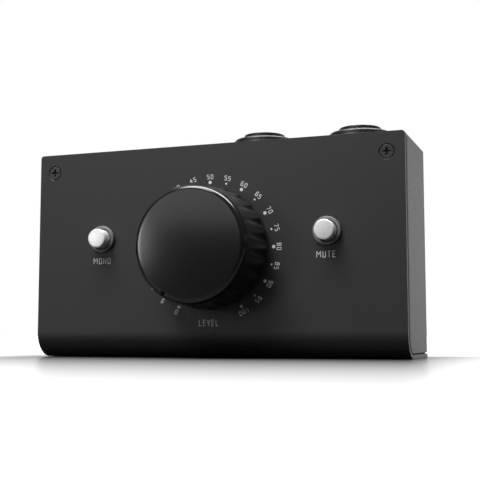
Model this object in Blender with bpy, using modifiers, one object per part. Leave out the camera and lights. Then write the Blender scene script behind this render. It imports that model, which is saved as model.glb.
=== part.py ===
"""Studio monitor controller, standing on its bent lower edge.

A large fluted level knob and two push buttons sit on a bent steel case, whose top
carries a row of sockets. Units are metres, +Z is up and the front faces -Y. The
origin lies on the underside, midway between the sides and between front and back.
"""

import math

import bmesh
import bpy
from mathutils import Matrix, Vector

OBJECT_NAME = "studio_monitor_controller"

# Case
CASE_WIDTH = 0.154
CASE_DEPTH = 0.0425
CASE_HEIGHT = 0.084
SHEET = 0.0015
BEND_RADIUS = 0.010
FOLD_RADIUS = 0.0012
SIDE_FOLD_RADIUS = 0.0025
BACK_NOTCH = 0.0018

# Gaps between pieces, and how far cutters and joined pieces run past a face
SEAM = 0.0005
SEAT = 0.0003
CLEARANCE = 0.0003
OVERRUN = 0.001
WELD = 0.00001

# Case screws, with their nuts and flanges
SCREW_INSET_X = 0.0068
SCREW_INSET_Z = 0.0076
BASE_SCREW_INSET = 0.0115
SCREW_HEAD_RADIUS = 0.00275
SCREW_SHANK_RADIUS = 0.0015
SCREW_POINT = 0.0005
RECESS_SPAN = 0.0032
RECESS_WIDTH = 0.0007
RECESS_DEPTH = 0.0008
FLANGE_MARGIN = 0.006
CASE_NUT_RADIUS = 0.0032
CASE_NUT_HEIGHT = 0.0025

# Rubber feet on the back
FOOT_RADIUS = 0.005
FOOT_HEIGHT = 0.0025
FOOT_CHAMFER = 0.0005
FOOT_INSET = 0.010

# Level knob, whose axis hangs below the top and whose heights are taken from the panel
LEVEL_DROP = 0.0416
KNOB_GAP = 0.001
KNOB_TOP = 0.022
KNOB_FACE_RADIUS = 0.0222
KNOB_BASE_RADIUS = 0.024
KNOB_RIM_RADIUS = 0.0018
KNOB_CROWN = 0.0003
KNOB_WALL = 0.0028
KNOB_SKIN = 0.0025
FLUTE_COUNT = 24
FLUTE_RADIUS = 0.0024
FLUTE_DEPTH = 0.0012
FLUTE_START = 0.0055
POINTER_ANGLE = math.radians(-150)
POINTER_WIDTH = 0.0011
POINTER_LENGTH = 0.0024
POINTER_DEPTH = 0.0011
HUB_RADIUS = 0.0062
HUB_GAP = 0.0006
HUB_SLOT = 0.0008
HUB_SLOT_DEPTH = 0.006
KNOB_RING_WALL = 0.0008
KNOB_RING_HEIGHT = 0.004
KNOB_RING_SLOT = 0.0015

# Rotary control behind the knob
SHAFT_RADIUS = 0.003
SHAFT_FLAT = 0.0015
SHAFT_GAP = 0.0005
BUSH_RADIUS = 0.0045
BUSH_REACH = 0.005
BUSH_FLANGE = 0.001
WASHER_RADIUS = 0.0078
WASHER_THICKNESS = 0.0008
POT_NUT_RADIUS = 0.0069
POT_NUT_HEIGHT = 0.0025
POT_RADIUS = 0.010
POT_WALL = 0.0014
POT_DEPTH = 0.0185
WIPER_THICKNESS = 0.0012
WIPER_PLACE_SHARES = (0.28, 0.66)

# Push buttons, a little above the knob's axis, with heights taken from the panel
BUTTON_INSET = 0.0297
BUTTON_RISE = 0.0053
BUTTON_TRAVEL = 0.003
CAP_RADIUS = 0.00385
CAP_REACH = 0.0055
CAP_BACK = -0.0035
CAP_CHAMFER = 0.0004
BEZEL_RADIUS = 0.00545
BEZEL_BAND = 0.0012
BEZEL_PROUD = 0.001
BEZEL_CHAMFER = 0.0003
BEZEL_SLEEVE_RADIUS = 0.0048
BEZEL_SLEEVE_BACK = -0.0046
BEZEL_NUT_RADIUS = 0.0072
BEZEL_NUT_HEIGHT = 0.002
PLUNGER_SIDE = 0.003
PLUNGER_GRIP = 0.004
PLUNGER_DIP = 0.003
SWITCH_SIDE = 0.0085
SWITCH_DEPTH = 0.009
SPRING_RADIUS = 0.0028
SPRING_WIRE = 0.0005
SPRING_CURLS = 6

# Circuit boards and the ribbon between them
BOARD = 0.0016
BOARD_MARGIN = 0.0015
BOARD_GAP = 0.0018
HEADER_LENGTH = 0.014
HEADER_WIDTH = 0.006
HEADER_HEIGHT = 0.0048
HEADER_STEP = 0.0173
FRONT_HEADER_DROP = 0.0095
RIBBON_WIDTH = 0.012
RIBBON_THICKNESS = 0.0009
RIBBON_REACH = 0.0045

# Sockets on the top plate, whose heights are taken from its upper face
SOCKET_PLACE_SHARES = (0.1007, 0.3604)
RING_RADIUS = 0.0123
RING_HEIGHT = 0.0042
RING_SHOULDER = 0.001
NOSE_RADIUS = 0.0083
NOSE_HEIGHT = 0.0062
NOSE_CHAMFER = 0.0004
GROOVE_RADIUS = 0.0101
GROOVE_DEPTH = 0.010
JACK_RADIUS = 0.00325
JACK_DEPTH = 0.024
CONTACT_RADIUS = 0.0013
CONTACT_CIRCLE = 0.0052
CONTACT_DEPTH = 0.012
CONTACT_ANGLES = (math.radians(30), math.radians(150), math.radians(270))
OUTPUT_FLANGE = 0.0012
OUTPUT_CHAMFER = 0.0004
CUP_RADIUS = 0.0083
CUP_DEPTH = 0.014
PIN_RADIUS = 0.0012
PIN_RECESS = 0.0015
SOCKET_FLANGE = 0.0024
SOCKET_FLANGE_EDGE = 0.0005
SOCKET_FLANGE_EAR = 0.0022

# Pan-head screws of the sockets
PAN_HEAD_RADIUS = 0.0024
PAN_HEAD_HEIGHT = 0.0012
PAN_CHAMFER = 0.0004
PAN_SHANK_RADIUS = 0.00125
PAN_LENGTH = 0.005
PAN_MARGIN = 0.0006
PAN_ANGLE = math.radians(50)

# Small stereo jack
AUX_BUSH_RADIUS = 0.003
AUX_BUSH_REACH = 0.0035
AUX_WIDTH = 0.0065
AUX_LENGTH = 0.009
AUX_HEIGHT = 0.014
AUX_BORE_RADIUS = 0.0018
AUX_BORE_DEPTH = 0.013
AUX_NUT_RADIUS = 0.004
AUX_NUT_HEIGHT = 0.002
LEAD_RADIUS = 0.001
LEAD_SWING = 0.003
LEAD_POINTS = 12

# How finely round shapes are divided
KNOB_STEPS = 72
SOCKET_STEPS = 40
SMALL_STEPS = 24
TINY_STEPS = 12
HEX_SIDES = 6
ARC_STEPS = 4
BEND_STEPS = 8
CURL_POINTS = 9
LEAD_RESOLUTION = 2
WIRE_RESOLUTION = 1
SMOOTH_ANGLE = math.radians(35)

# Ways that a piece faces: its own +Z goes up, down, forward or back
FACING_UP = (0, 0, 0)
FACING_DOWN = (math.pi, 0, 0)
FACING_FRONT = (math.pi / 2, 0, 0)
FACING_BACK = (-math.pi / 2, 0, 0)
SIDEWAYS = Matrix(((0, 0, 1, 0), (1, 0, 0, 0), (0, 1, 0, 0), (0, 0, 0, 1)))

# Places that follow from the sizes above
FRONT_Y = -CASE_DEPTH / 2
BACK_Y = CASE_DEPTH / 2
CHASSIS_FRONT_Y = FRONT_Y + SHEET + SEAM
CHASSIS_BASE_Z = SHEET + SEAM
PLATE_UNDER_Z = CASE_HEIGHT - SHEET
SIDE_FOLD_TOP = PLATE_UNDER_Z - SEAM
SCREW_X = CASE_WIDTH / 2 - SCREW_INSET_X
SCREW_Z = CASE_HEIGHT - SCREW_INSET_Z
BASE_SCREW_Y = BACK_Y - BASE_SCREW_INSET
SCREW_CONE = SCREW_HEAD_RADIUS - SCREW_SHANK_RADIUS
FLANGE_BACK = -(SHEET + SEAM + SHEET)
CASE_NUT_BACK = FLANGE_BACK - SEAT - CASE_NUT_HEIGHT
LEVEL_Z = CASE_HEIGHT - LEVEL_DROP
BUTTON_X = CASE_WIDTH / 2 - BUTTON_INSET
BUTTON_Z = LEVEL_Z + BUTTON_RISE
KNOB_ROOF = KNOB_TOP - KNOB_SKIN
HUB_END = BUSH_REACH + HUB_GAP
SHAFT_TOP = KNOB_ROOF - SHAFT_GAP
BUSH_BACK = -(SHEET + SEAT + BUSH_FLANGE)
POT_FRONT = BUSH_BACK - SEAT
POT_BACK = POT_FRONT - POT_DEPTH
BOARD_FRONT = POT_BACK - SEAT
BOARD_BACK = BOARD_FRONT - BOARD
SWITCH_BACK = BOARD_FRONT + SEAT
SWITCH_FRONT = SWITCH_BACK + SWITCH_DEPTH
PLUNGER_FRONT = CAP_BACK + PLUNGER_GRIP
PLUNGER_BACK = SWITCH_FRONT - PLUNGER_DIP
FRONT_BOARD_TOP = max(LEVEL_Z + POT_RADIUS, BUTTON_Z + SWITCH_SIDE / 2) + BOARD_MARGIN
FRONT_BOARD_LOW = LEVEL_Z - POT_RADIUS - BOARD_MARGIN
CONNECTOR_BOARD_LOW = FRONT_BOARD_TOP + BOARD_GAP
CONNECTOR_BOARD_TOP = CONNECTOR_BOARD_LOW + BOARD
HEADER_X = BUTTON_X - HEADER_STEP
SOCKET_TOP = -(SHEET + SEAT)
SOCKET_BASE = CONNECTOR_BOARD_TOP + SEAT - CASE_HEIGHT
SOCKET_X_NEAR, SOCKET_X_FAR = (CASE_WIDTH * share for share in SOCKET_PLACE_SHARES)
PAN_CIRCLE = RING_RADIUS + PAN_MARGIN + PAN_HEAD_RADIUS
PAN_X = PAN_CIRCLE * math.cos(PAN_ANGLE)
PAN_Y = PAN_CIRCLE * math.sin(PAN_ANGLE)
SOCKET_HALF_X = RING_RADIUS + SOCKET_FLANGE_EDGE
SOCKET_HALF_Y = PAN_Y + SOCKET_FLANGE_EAR
AUX_X = (SOCKET_X_NEAR + SOCKET_X_FAR) / 2
AUX_BASE = SOCKET_TOP - AUX_HEIGHT

# Each finish is a linear base colour, a roughness and a metallic value
FINISHES = {
    "black_paint": ((0.040, 0.040, 0.041), 0.45, 0.0),
    "black_plastic": ((0.022, 0.022, 0.023), 0.28, 0.0),
    "silver_plastic": ((0.62, 0.62, 0.62), 0.30, 0.0),
    "grey_ring": ((0.17, 0.17, 0.17), 0.40, 0.0),
    "zinc_steel": ((0.55, 0.55, 0.53), 0.35, 1.0),
    "black_steel": ((0.030, 0.030, 0.030), 0.40, 1.0),
    "brass": ((0.62, 0.45, 0.20), 0.35, 1.0),
    "rubber": ((0.018, 0.018, 0.018), 0.80, 0.0),
    "green_board": ((0.015, 0.095, 0.045), 0.45, 0.0),
    "grey_cable": ((0.35, 0.35, 0.36), 0.60, 0.0),
}


def clear_scene():
    """Empties the scene and gives it one collection for parts and one for cutters."""
    for item in list(bpy.data.objects):
        bpy.data.objects.remove(item, do_unlink=True)
    for name in (OBJECT_NAME, "cutters"):
        bpy.context.scene.collection.children.link(bpy.data.collections.new(name))


def material(name, finish):
    """A plain material with the colour, roughness and metallic value of a finish."""
    colour, roughness, metallic = FINISHES[finish]
    made = bpy.data.materials.new(f"{name}_{finish}")
    made.use_nodes = True
    made.diffuse_color = (*colour, 1)
    shader = made.node_tree.nodes["Principled BSDF"]
    shader.inputs["Base Color"].default_value = (*colour, 1)
    shader.inputs["Roughness"].default_value = roughness
    shader.inputs["Metallic"].default_value = metallic
    return made


def part(name, mesh, finish, place=(0, 0, 0), facing=FACING_UP, parent=None):
    """Adds a piece of the object, at its place in its parent's frame."""
    item = bpy.data.objects.new(name, mesh.copy())
    item.data.name = name
    item.data.materials.clear()
    item.data.materials.append(material(name, finish))
    bpy.data.collections[OBJECT_NAME].objects.link(item)
    item.parent = parent
    item.location = place
    item.rotation_euler = facing
    return item


def axis_empty(name, place):
    """An empty on a joint's axis in the front, with its own +Z pointing forward."""
    axis = bpy.data.objects.new(name, None)
    axis.empty_display_size = SHEET
    bpy.data.collections[OBJECT_NAME].objects.link(axis)
    axis.location = place
    axis.rotation_euler = FACING_FRONT
    return axis


def shape_with(target, mesh, place=(0, 0, 0), facing=FACING_UP, operation="DIFFERENCE"):
    """Cuts a mesh from the target, or joins it, at a place in the target's frame."""
    cutter = bpy.data.objects.new(f"{target.name}_{mesh.name}", mesh)
    bpy.data.collections["cutters"].objects.link(cutter)
    cutter.parent = target
    cutter.location = place
    cutter.rotation_euler = facing
    cutter.hide_render = True
    cutter.display_type = "WIRE"
    step = target.modifiers.new(mesh.name, "BOOLEAN")
    step.operation = operation
    step.solver = "EXACT"
    step.object = cutter
    return cutter


def mesh_from(tool, name):
    """Turns a bmesh into a mesh that is smooth but for its sharp edges."""
    mesh = bpy.data.meshes.new(name)
    tool.to_mesh(mesh)
    tool.free()
    mesh.shade_smooth()
    mesh.set_sharp_from_angle(angle=SMOOTH_ANGLE)
    return mesh


def evaluated(name, item):
    """The welded mesh of a guide object, which is then removed."""
    bpy.context.scene.collection.objects.link(item)
    graph = bpy.context.evaluated_depsgraph_get()
    source = bpy.data.meshes.new_from_object(item.evaluated_get(graph))
    tool = bmesh.new()
    tool.from_mesh(source)
    bpy.data.meshes.remove(source)
    bpy.data.objects.remove(item, do_unlink=True)
    bmesh.ops.remove_doubles(tool, verts=tool.verts, dist=WELD)
    bmesh.ops.recalc_face_normals(tool, faces=tool.faces)
    return mesh_from(tool, name)


def block(name, low, high):
    """A box between two corners."""
    tool = bmesh.new()
    bmesh.ops.create_cube(tool, size=1)
    low = Vector(low)
    high = Vector(high)
    size = Matrix.Diagonal((*(high - low), 1))
    middle = Matrix.Translation((low + high) / 2)
    bmesh.ops.transform(tool, matrix=middle @ size, verts=tool.verts)
    bmesh.ops.recalc_face_normals(tool, faces=tool.faces)
    return mesh_from(tool, name)


def bar(name, half, low, high):
    """A square bar along Z, centred on the axis."""
    return block(name, (-half, -half, low), (half, half, high))


def rod(name, radius, low, high, steps):
    """A cylinder along Z between two heights, or a prism if the steps are few."""
    tool = bmesh.new()
    bmesh.ops.create_cone(
        tool, cap_ends=True, segments=steps, radius1=radius, radius2=radius, depth=high - low
    )
    lift = Matrix.Translation((0, 0, (low + high) / 2))
    bmesh.ops.transform(tool, matrix=lift, verts=tool.verts)
    return mesh_from(tool, name)


def flatted_rod(name, radius, flat, low, high):
    """A cylinder along Z with a flat on its +X side, at a distance from its axis."""
    tool = bmesh.new()
    tool.from_mesh(rod(name, radius, low, high, SMALL_STEPS))
    everything = tool.verts[:] + tool.edges[:] + tool.faces[:]
    bmesh.ops.bisect_plane(
        tool, geom=everything, plane_co=(flat, 0, 0), plane_no=(1, 0, 0), clear_outer=True
    )
    rim = [edge for edge in tool.edges if edge.is_boundary]
    bmesh.ops.holes_fill(tool, edges=rim)
    bmesh.ops.recalc_face_normals(tool, faces=tool.faces)
    return mesh_from(tool, name)


def turned(name, profile, steps):
    """A shape turned about Z from (radius, height) points, down its outer side."""
    count = len(profile)
    edges = [(index, index + 1) for index in range(count - 1)]
    if profile[0][0] > 0:
        edges.append((count - 1, 0))
    outline = bpy.data.meshes.new(name)
    outline.from_pydata([(radius, 0, height) for radius, height in profile], edges, [])
    lathe = bpy.data.objects.new(name, outline)
    turn = lathe.modifiers.new("turn", "SCREW")
    turn.steps = steps
    turn.render_steps = steps
    turn.use_merge_vertices = True
    turn.merge_threshold = WELD
    return evaluated(name, lathe)


def ring(name, outer, inner, low, high, steps):
    """A plain ring about Z."""
    return turned(name, [(outer, high), (outer, low), (inner, low), (inner, high)], steps)


def arc(centre, radius, start, end, steps):
    """Points of an arc, from one angle to another."""
    points = []
    for step in range(steps + 1):
        angle = start + (end - start) * step / steps
        points.append((centre[0] + radius * math.cos(angle), centre[1] + radius * math.sin(angle)))
    return points


def poly_curve(name, points, cyclic):
    """A straight-sided curve object through the points."""
    curve = bpy.data.curves.new(name, "CURVE")
    line = curve.splines.new("POLY")
    line.points.add(len(points) - 1)
    for target, point in zip(line.points, points):
        target.co = (*point, 1)
    line.use_cyclic_u = cyclic
    return bpy.data.objects.new(name, curve)


def prism(name, outline, length):
    """An outline of (x, y) points, made as long as asked along Z and centred there."""
    item = poly_curve(name, [(across, along, 0) for across, along in outline], True)
    item.data.dimensions = "2D"
    item.data.fill_mode = "BOTH"
    item.data.extrude = length / 2
    return evaluated(name, item)


def slab(name, outline, width):
    """An outline of (y, z) points, made as wide as asked along X."""
    mesh = prism(name, outline, width)
    mesh.transform(SIDEWAYS)
    return mesh


def tube(name, points, radius, resolution):
    """A round tube with filled ends along the points."""
    item = poly_curve(name, points, False)
    item.data.dimensions = "3D"
    item.data.bevel_depth = radius
    item.data.bevel_resolution = resolution
    item.data.use_fill_caps = True
    return evaluated(name, item)


def edge_line(edge):
    """The axis that an edge mostly runs along, and its middle."""
    first, last = (vertex.co for vertex in edge.verts)
    spans = [abs(step) for step in last - first]
    return spans.index(max(spans)), (first + last) / 2


def near(first, second):
    """Whether two lengths are the same but for rounding."""
    return abs(first - second) < WELD


def rounded(mesh, picks, radius, steps):
    """Rounds the edges that the picking function chooses by their run and middle."""
    tool = bmesh.new()
    tool.from_mesh(mesh)
    chosen = [edge for edge in tool.edges if picks(*edge_line(edge))]
    bmesh.ops.bevel(
        tool, geom=chosen, offset=radius, segments=steps, profile=0.5, affect="EDGES"
    )
    return mesh_from(tool, mesh.name)


def countersink():
    """The cutter for a countersunk hole, in the frame of the face that it opens in."""
    head = SCREW_HEAD_RADIUS + CLEARANCE
    shank = SCREW_SHANK_RADIUS + CLEARANCE
    flare = head + OVERRUN
    profile = [
        (0, OVERRUN),
        (flare, OVERRUN),
        (shank, -SCREW_CONE),
        (shank, -SHEET - OVERRUN),
        (0, -SHEET - OVERRUN),
    ]
    return turned("countersink", profile, SMALL_STEPS)


def cross_recess(target, top):
    """Cuts the cross for a screwdriver into a screw's head."""
    span = RECESS_SPAN / 2
    half = RECESS_WIDTH / 2
    low = top - RECESS_DEPTH
    high = top + OVERRUN
    shape_with(target, block("recess_x", (-span, -half, low), (span, half, high)))
    shape_with(target, block("recess_y", (-half, -span, low), (half, span, high)))


def front_cover():
    """The front and the underside, bent from one sheet, with its holes."""
    centre = (FRONT_Y + BEND_RADIUS, BEND_RADIUS)
    outer = arc(centre, BEND_RADIUS, math.pi, 1.5 * math.pi, BEND_STEPS)
    inner = arc(centre, BEND_RADIUS - SHEET, 1.5 * math.pi, math.pi, BEND_STEPS)
    start = (FRONT_Y, CASE_HEIGHT)
    heel = [(BACK_Y, 0), (BACK_Y, SHEET)]
    outline = [start, *outer, *heel, *inner, (FRONT_Y + SHEET, CASE_HEIGHT)]
    mesh = slab("front_cover", outline, CASE_WIDTH)
    mesh = rounded(mesh, is_free_corner, FOLD_RADIUS, ARC_STEPS)
    cover = part("front_cover", mesh, "black_paint")
    sink = countersink()
    for side in (-1, 1):
        shape_with(cover, sink, (side * SCREW_X, FRONT_Y, SCREW_Z), FACING_FRONT)
        shape_with(cover, sink, (side * SCREW_X, BASE_SCREW_Y, 0), FACING_DOWN)
    panel_hole(cover, "bush_hole", BUSH_RADIUS, 0, LEVEL_Z)
    for side in (-1, 1):
        panel_hole(cover, "bezel_hole", BEZEL_SLEEVE_RADIUS, side * BUTTON_X, BUTTON_Z)


def is_free_corner(run, middle):
    """Picks the two corners at the front sheet's free upper edge."""
    return run == 1 and near(abs(middle.x), CASE_WIDTH / 2) and near(middle.z, CASE_HEIGHT)


def panel_hole(cover, name, radius, across, up):
    """A hole in the front for something of the radius given."""
    hole = rod(name, radius + CLEARANCE, -SHEET - OVERRUN, OVERRUN, SMALL_STEPS)
    shape_with(cover, hole, (across, FRONT_Y, up), FACING_FRONT)


def is_fold(run, middle):
    """Picks the folds of the chassis: top to back, sides to back and sides to top."""
    at_back = near(middle.y, BACK_Y)
    at_top = near(middle.z, CASE_HEIGHT)
    at_side = near(abs(middle.x), CASE_WIDTH / 2)
    return (run == 0 and at_back and at_top) or (at_side and (at_back or at_top) and run != 0)


def chassis():
    """Top plate, back and sides, folded from one sheet inside the cover."""
    centre = (FRONT_Y + BEND_RADIUS, BEND_RADIUS)
    corner = arc(centre, BEND_RADIUS - SHEET - SEAM, math.pi, 1.5 * math.pi, BEND_STEPS)
    start = (CHASSIS_FRONT_Y, CASE_HEIGHT)
    back = [(BACK_Y, CHASSIS_BASE_Z), (BACK_Y, CASE_HEIGHT)]
    mesh = slab("chassis", [start, *corner, *back], CASE_WIDTH)
    mesh = rounded(mesh, is_fold, FOLD_RADIUS, ARC_STEPS)
    frame = part("chassis", mesh, "black_paint")
    inside = CASE_WIDTH / 2 - SHEET
    low = (-inside, FRONT_Y - OVERRUN, -OVERRUN)
    high = (inside, BACK_Y - SHEET, PLATE_UNDER_Z)
    shape_with(frame, block("inside", low, high))
    for side in (-1, 1):
        chassis_side(frame, side)
    ring_hole = rod("socket_hole", RING_RADIUS + CLEARANCE, -SHEET - OVERRUN, OVERRUN, SOCKET_STEPS)
    screw_hole = rod(
        "screw_hole", PAN_SHANK_RADIUS + CLEARANCE, -SHEET - OVERRUN, OVERRUN, TINY_STEPS
    )
    for across in socket_places():
        shape_with(frame, ring_hole, (across, 0, CASE_HEIGHT))
        for end in (-1, 1):
            shape_with(frame, screw_hole, (across + end * PAN_X, end * PAN_Y, CASE_HEIGHT))
    aux_hole = rod("aux_hole", AUX_BUSH_RADIUS + CLEARANCE, -SHEET - OVERRUN, OVERRUN, SMALL_STEPS)
    shape_with(frame, aux_hole, (AUX_X, 0, CASE_HEIGHT))


def side_fold(side):
    """The cutter that rounds a side's fold into its front flange, as a (x, y) prism."""
    middle = CASE_WIDTH / 2 - SIDE_FOLD_RADIUS
    behind = CHASSIS_FRONT_Y + SIDE_FOLD_RADIUS
    turn = arc((middle, behind), SIDE_FOLD_RADIUS, -math.pi / 2, 0, ARC_STEPS)
    ahead = CHASSIS_FRONT_Y - OVERRUN
    beside = CASE_WIDTH / 2 + OVERRUN
    outline = [*turn, (beside, behind), (beside, ahead), (middle, ahead)]
    outline = [(side * across, along) for across, along in outline]
    return prism("side_fold", outline, SIDE_FOLD_TOP - BEND_RADIUS)


def chassis_side(frame, side):
    """The flanges, the front fold and the notch at one side of the chassis."""
    outer = side * (CASE_WIDTH - SHEET) / 2
    inner = side * (SCREW_X - FLANGE_MARGIN)
    left, right = sorted((inner, outer))
    low = (left, CHASSIS_FRONT_Y, BEND_RADIUS + SHEET)
    high = (right, CHASSIS_FRONT_Y + SHEET, CASE_HEIGHT - SHEET / 2)
    shape_with(frame, block("front_flange", low, high), operation="UNION")
    shape_with(frame, side_fold(side), (0, 0, (BEND_RADIUS + SIDE_FOLD_TOP) / 2))
    low = (left, BASE_SCREW_Y - FLANGE_MARGIN, CHASSIS_BASE_Z)
    high = (right, BASE_SCREW_Y + FLANGE_MARGIN, CHASSIS_BASE_Z + SHEET)
    shape_with(frame, block("base_flange", low, high), operation="UNION")
    hole = rod(
        "flange_hole", SCREW_SHANK_RADIUS + CLEARANCE, FLANGE_BACK - OVERRUN, 0, TINY_STEPS
    )
    shape_with(frame, hole, (side * SCREW_X, FRONT_Y, SCREW_Z), FACING_FRONT)
    shape_with(frame, hole, (side * SCREW_X, BASE_SCREW_Y, 0), FACING_DOWN)
    left, right = sorted((side * (CASE_WIDTH / 2 - BACK_NOTCH), side * (CASE_WIDTH / 2 + OVERRUN)))
    low = (left, BACK_Y - BACK_NOTCH, CHASSIS_BASE_Z - OVERRUN)
    high = (right, BACK_Y + OVERRUN, CHASSIS_BASE_Z + BACK_NOTCH)
    shape_with(frame, block("back_notch", low, high))


def socket_places():
    """The four large sockets' places across the top plate, from left to right."""
    return (-SOCKET_X_FAR, -SOCKET_X_NEAR, SOCKET_X_NEAR, SOCKET_X_FAR)


def case_fixing(name, place, facing):
    """A countersunk screw through the cover, and its nut behind the flange."""
    end = CASE_NUT_BACK - SCREW_POINT
    profile = [
        (0, 0),
        (SCREW_HEAD_RADIUS, 0),
        (SCREW_SHANK_RADIUS, -SCREW_CONE),
        (SCREW_SHANK_RADIUS, end),
        (0, end),
    ]
    mesh = turned("case_screw", profile, SMALL_STEPS)
    screw = part(name.replace("fixing", "screw"), mesh, "black_steel", place, facing)
    cross_recess(screw, 0)
    bore = SCREW_SHANK_RADIUS + CLEARANCE
    top = FLANGE_BACK - SEAT
    nut = ring("case_nut", CASE_NUT_RADIUS, bore, CASE_NUT_BACK, top, SMALL_STEPS)
    part(name.replace("fixing", "nut"), nut, "zinc_steel", place, facing)


def case_fixings():
    """The two screws in the front and the two in the underside."""
    for side, word in ((-1, "left"), (1, "right")):
        case_fixing(f"front_fixing_{word}", (side * SCREW_X, FRONT_Y, SCREW_Z), FACING_FRONT)
        case_fixing(f"base_fixing_{word}", (side * SCREW_X, BASE_SCREW_Y, 0), FACING_DOWN)


def rear_feet():
    """Four rubber feet on the back, on which the object lies in use."""
    top = SEAT + FOOT_HEIGHT
    profile = [
        (0, top),
        (FOOT_RADIUS - FOOT_CHAMFER, top),
        (FOOT_RADIUS, top - FOOT_CHAMFER),
        (FOOT_RADIUS, SEAT),
        (0, SEAT),
    ]
    mesh = turned("foot", profile, SMALL_STEPS)
    across = CASE_WIDTH / 2 - FOOT_INSET
    for height, level in ((FOOT_INSET, "lower"), (CASE_HEIGHT - FOOT_INSET, "upper")):
        for side, word in ((-1, "left"), (1, "right")):
            place = (side * across, BACK_Y, height)
            part(f"rear_foot_{level}_{word}", mesh, "rubber", place, FACING_BACK)


def knob_side(height):
    """The knob's radius on its tapered side at a height above the panel."""
    share = (height - KNOB_GAP) / (KNOB_TOP - KNOB_GAP)
    return KNOB_BASE_RADIUS + (KNOB_FACE_RADIUS - KNOB_BASE_RADIUS) * share


def knob_profile():
    """Crowned face, round rim, tapered side, hollow back and hub."""
    shoulder = KNOB_FACE_RADIUS - KNOB_RIM_RADIUS
    rim_height = KNOB_TOP - KNOB_CROWN - KNOB_RIM_RADIUS
    rim = arc((shoulder, rim_height), KNOB_RIM_RADIUS, math.pi / 2, 0, ARC_STEPS)
    return [
        (0, KNOB_TOP),
        (shoulder / 2, KNOB_TOP - KNOB_CROWN / 4),
        *rim,
        (KNOB_BASE_RADIUS, KNOB_GAP),
        (KNOB_BASE_RADIUS - KNOB_WALL, KNOB_GAP),
        (KNOB_FACE_RADIUS - KNOB_WALL, KNOB_ROOF),
        (HUB_RADIUS, KNOB_ROOF),
        (HUB_RADIUS, HUB_END),
        (0, HUB_END),
    ]


def flute_cutters():
    """One leaning rod for each flute, which leaves the side towards the rim."""
    slope = FLUTE_DEPTH / (KNOB_TOP - FLUTE_START - KNOB_GAP)
    low = KNOB_GAP - OVERRUN
    high = KNOB_TOP
    tool = bmesh.new()
    for index in range(FLUTE_COUNT):
        made = bmesh.ops.create_cone(
            tool,
            cap_ends=True,
            segments=TINY_STEPS,
            radius1=FLUTE_RADIUS,
            radius2=FLUTE_RADIUS,
            depth=high - low,
        )
        for vertex in made["verts"]:
            height = low if vertex.co.z < 0 else high
            depth = FLUTE_DEPTH - slope * (height - KNOB_GAP)
            vertex.co.x += knob_side(height) + FLUTE_RADIUS - depth
            vertex.co.z = height
        angle = 2 * math.pi * (index + 0.5) / FLUTE_COUNT
        bmesh.ops.rotate(tool, matrix=Matrix.Rotation(angle, 3, "Z"), verts=made["verts"])
    return mesh_from(tool, "flutes")


def level_knob(axis):
    """The fluted knob, with its pointer notch, bore and split hub."""
    mesh = turned("level_knob", knob_profile(), KNOB_STEPS)
    knob = part("level_knob", mesh, "black_plastic", parent=axis)
    shape_with(knob, flute_cutters())
    half = POINTER_WIDTH / 2
    low = (KNOB_FACE_RADIUS - POINTER_LENGTH, -half, KNOB_TOP - POINTER_DEPTH)
    high = (KNOB_FACE_RADIUS + OVERRUN, half, KNOB_TOP + OVERRUN)
    turn = (0, 0, math.pi / 2 - POINTER_ANGLE)
    shape_with(knob, block("pointer", low, high), facing=turn)
    bore = flatted_rod(
        "bore", SHAFT_RADIUS + CLEARANCE, SHAFT_FLAT + CLEARANCE, HUB_END - OVERRUN, KNOB_ROOF
    )
    shape_with(knob, bore)
    half = HUB_SLOT / 2
    low = (-HUB_RADIUS - OVERRUN, -half, HUB_END - OVERRUN)
    high = (0, half, HUB_END + HUB_SLOT_DEPTH)
    shape_with(knob, block("hub_slot", low, high))


def knob_ring(axis):
    """The split spring ring that holds the knob's hub on the shaft."""
    inner = HUB_RADIUS + CLEARANCE
    low = HUB_END + HUB_GAP
    mesh = ring(
        "knob_ring", inner + KNOB_RING_WALL, inner, low, low + KNOB_RING_HEIGHT, SMALL_STEPS
    )
    item = part("knob_ring", mesh, "zinc_steel", parent=axis)
    half = KNOB_RING_SLOT / 2
    far = inner + KNOB_RING_WALL + OVERRUN
    slot = block(
        "ring_slot", (0, -half, low - OVERRUN), (far, half, low + KNOB_RING_HEIGHT + OVERRUN)
    )
    shape_with(item, slot)


def pot_shaft(axis):
    """The control's shaft with its two wiper discs and the flat for the knob."""
    disc = POT_RADIUS - POT_WALL - CLEARANCE
    end = POT_BACK + POT_WALL + SEAT
    profile = [(0, SHAFT_TOP), (SHAFT_RADIUS, SHAFT_TOP)]
    for share in WIPER_PLACE_SHARES:
        front = POT_FRONT - POT_DEPTH * share
        back = front - WIPER_THICKNESS
        profile += [(SHAFT_RADIUS, front), (disc, front), (disc, back), (SHAFT_RADIUS, back)]
    profile += [(SHAFT_RADIUS, end), (0, end)]
    shaft = part("pot_shaft", turned("pot_shaft", profile, SMALL_STEPS), "zinc_steel", parent=axis)
    reach = SHAFT_RADIUS + OVERRUN
    low = (SHAFT_FLAT, -reach, BUSH_REACH)
    high = (reach, reach, SHAFT_TOP + OVERRUN)
    shape_with(shaft, block("flat", low, high))


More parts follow.
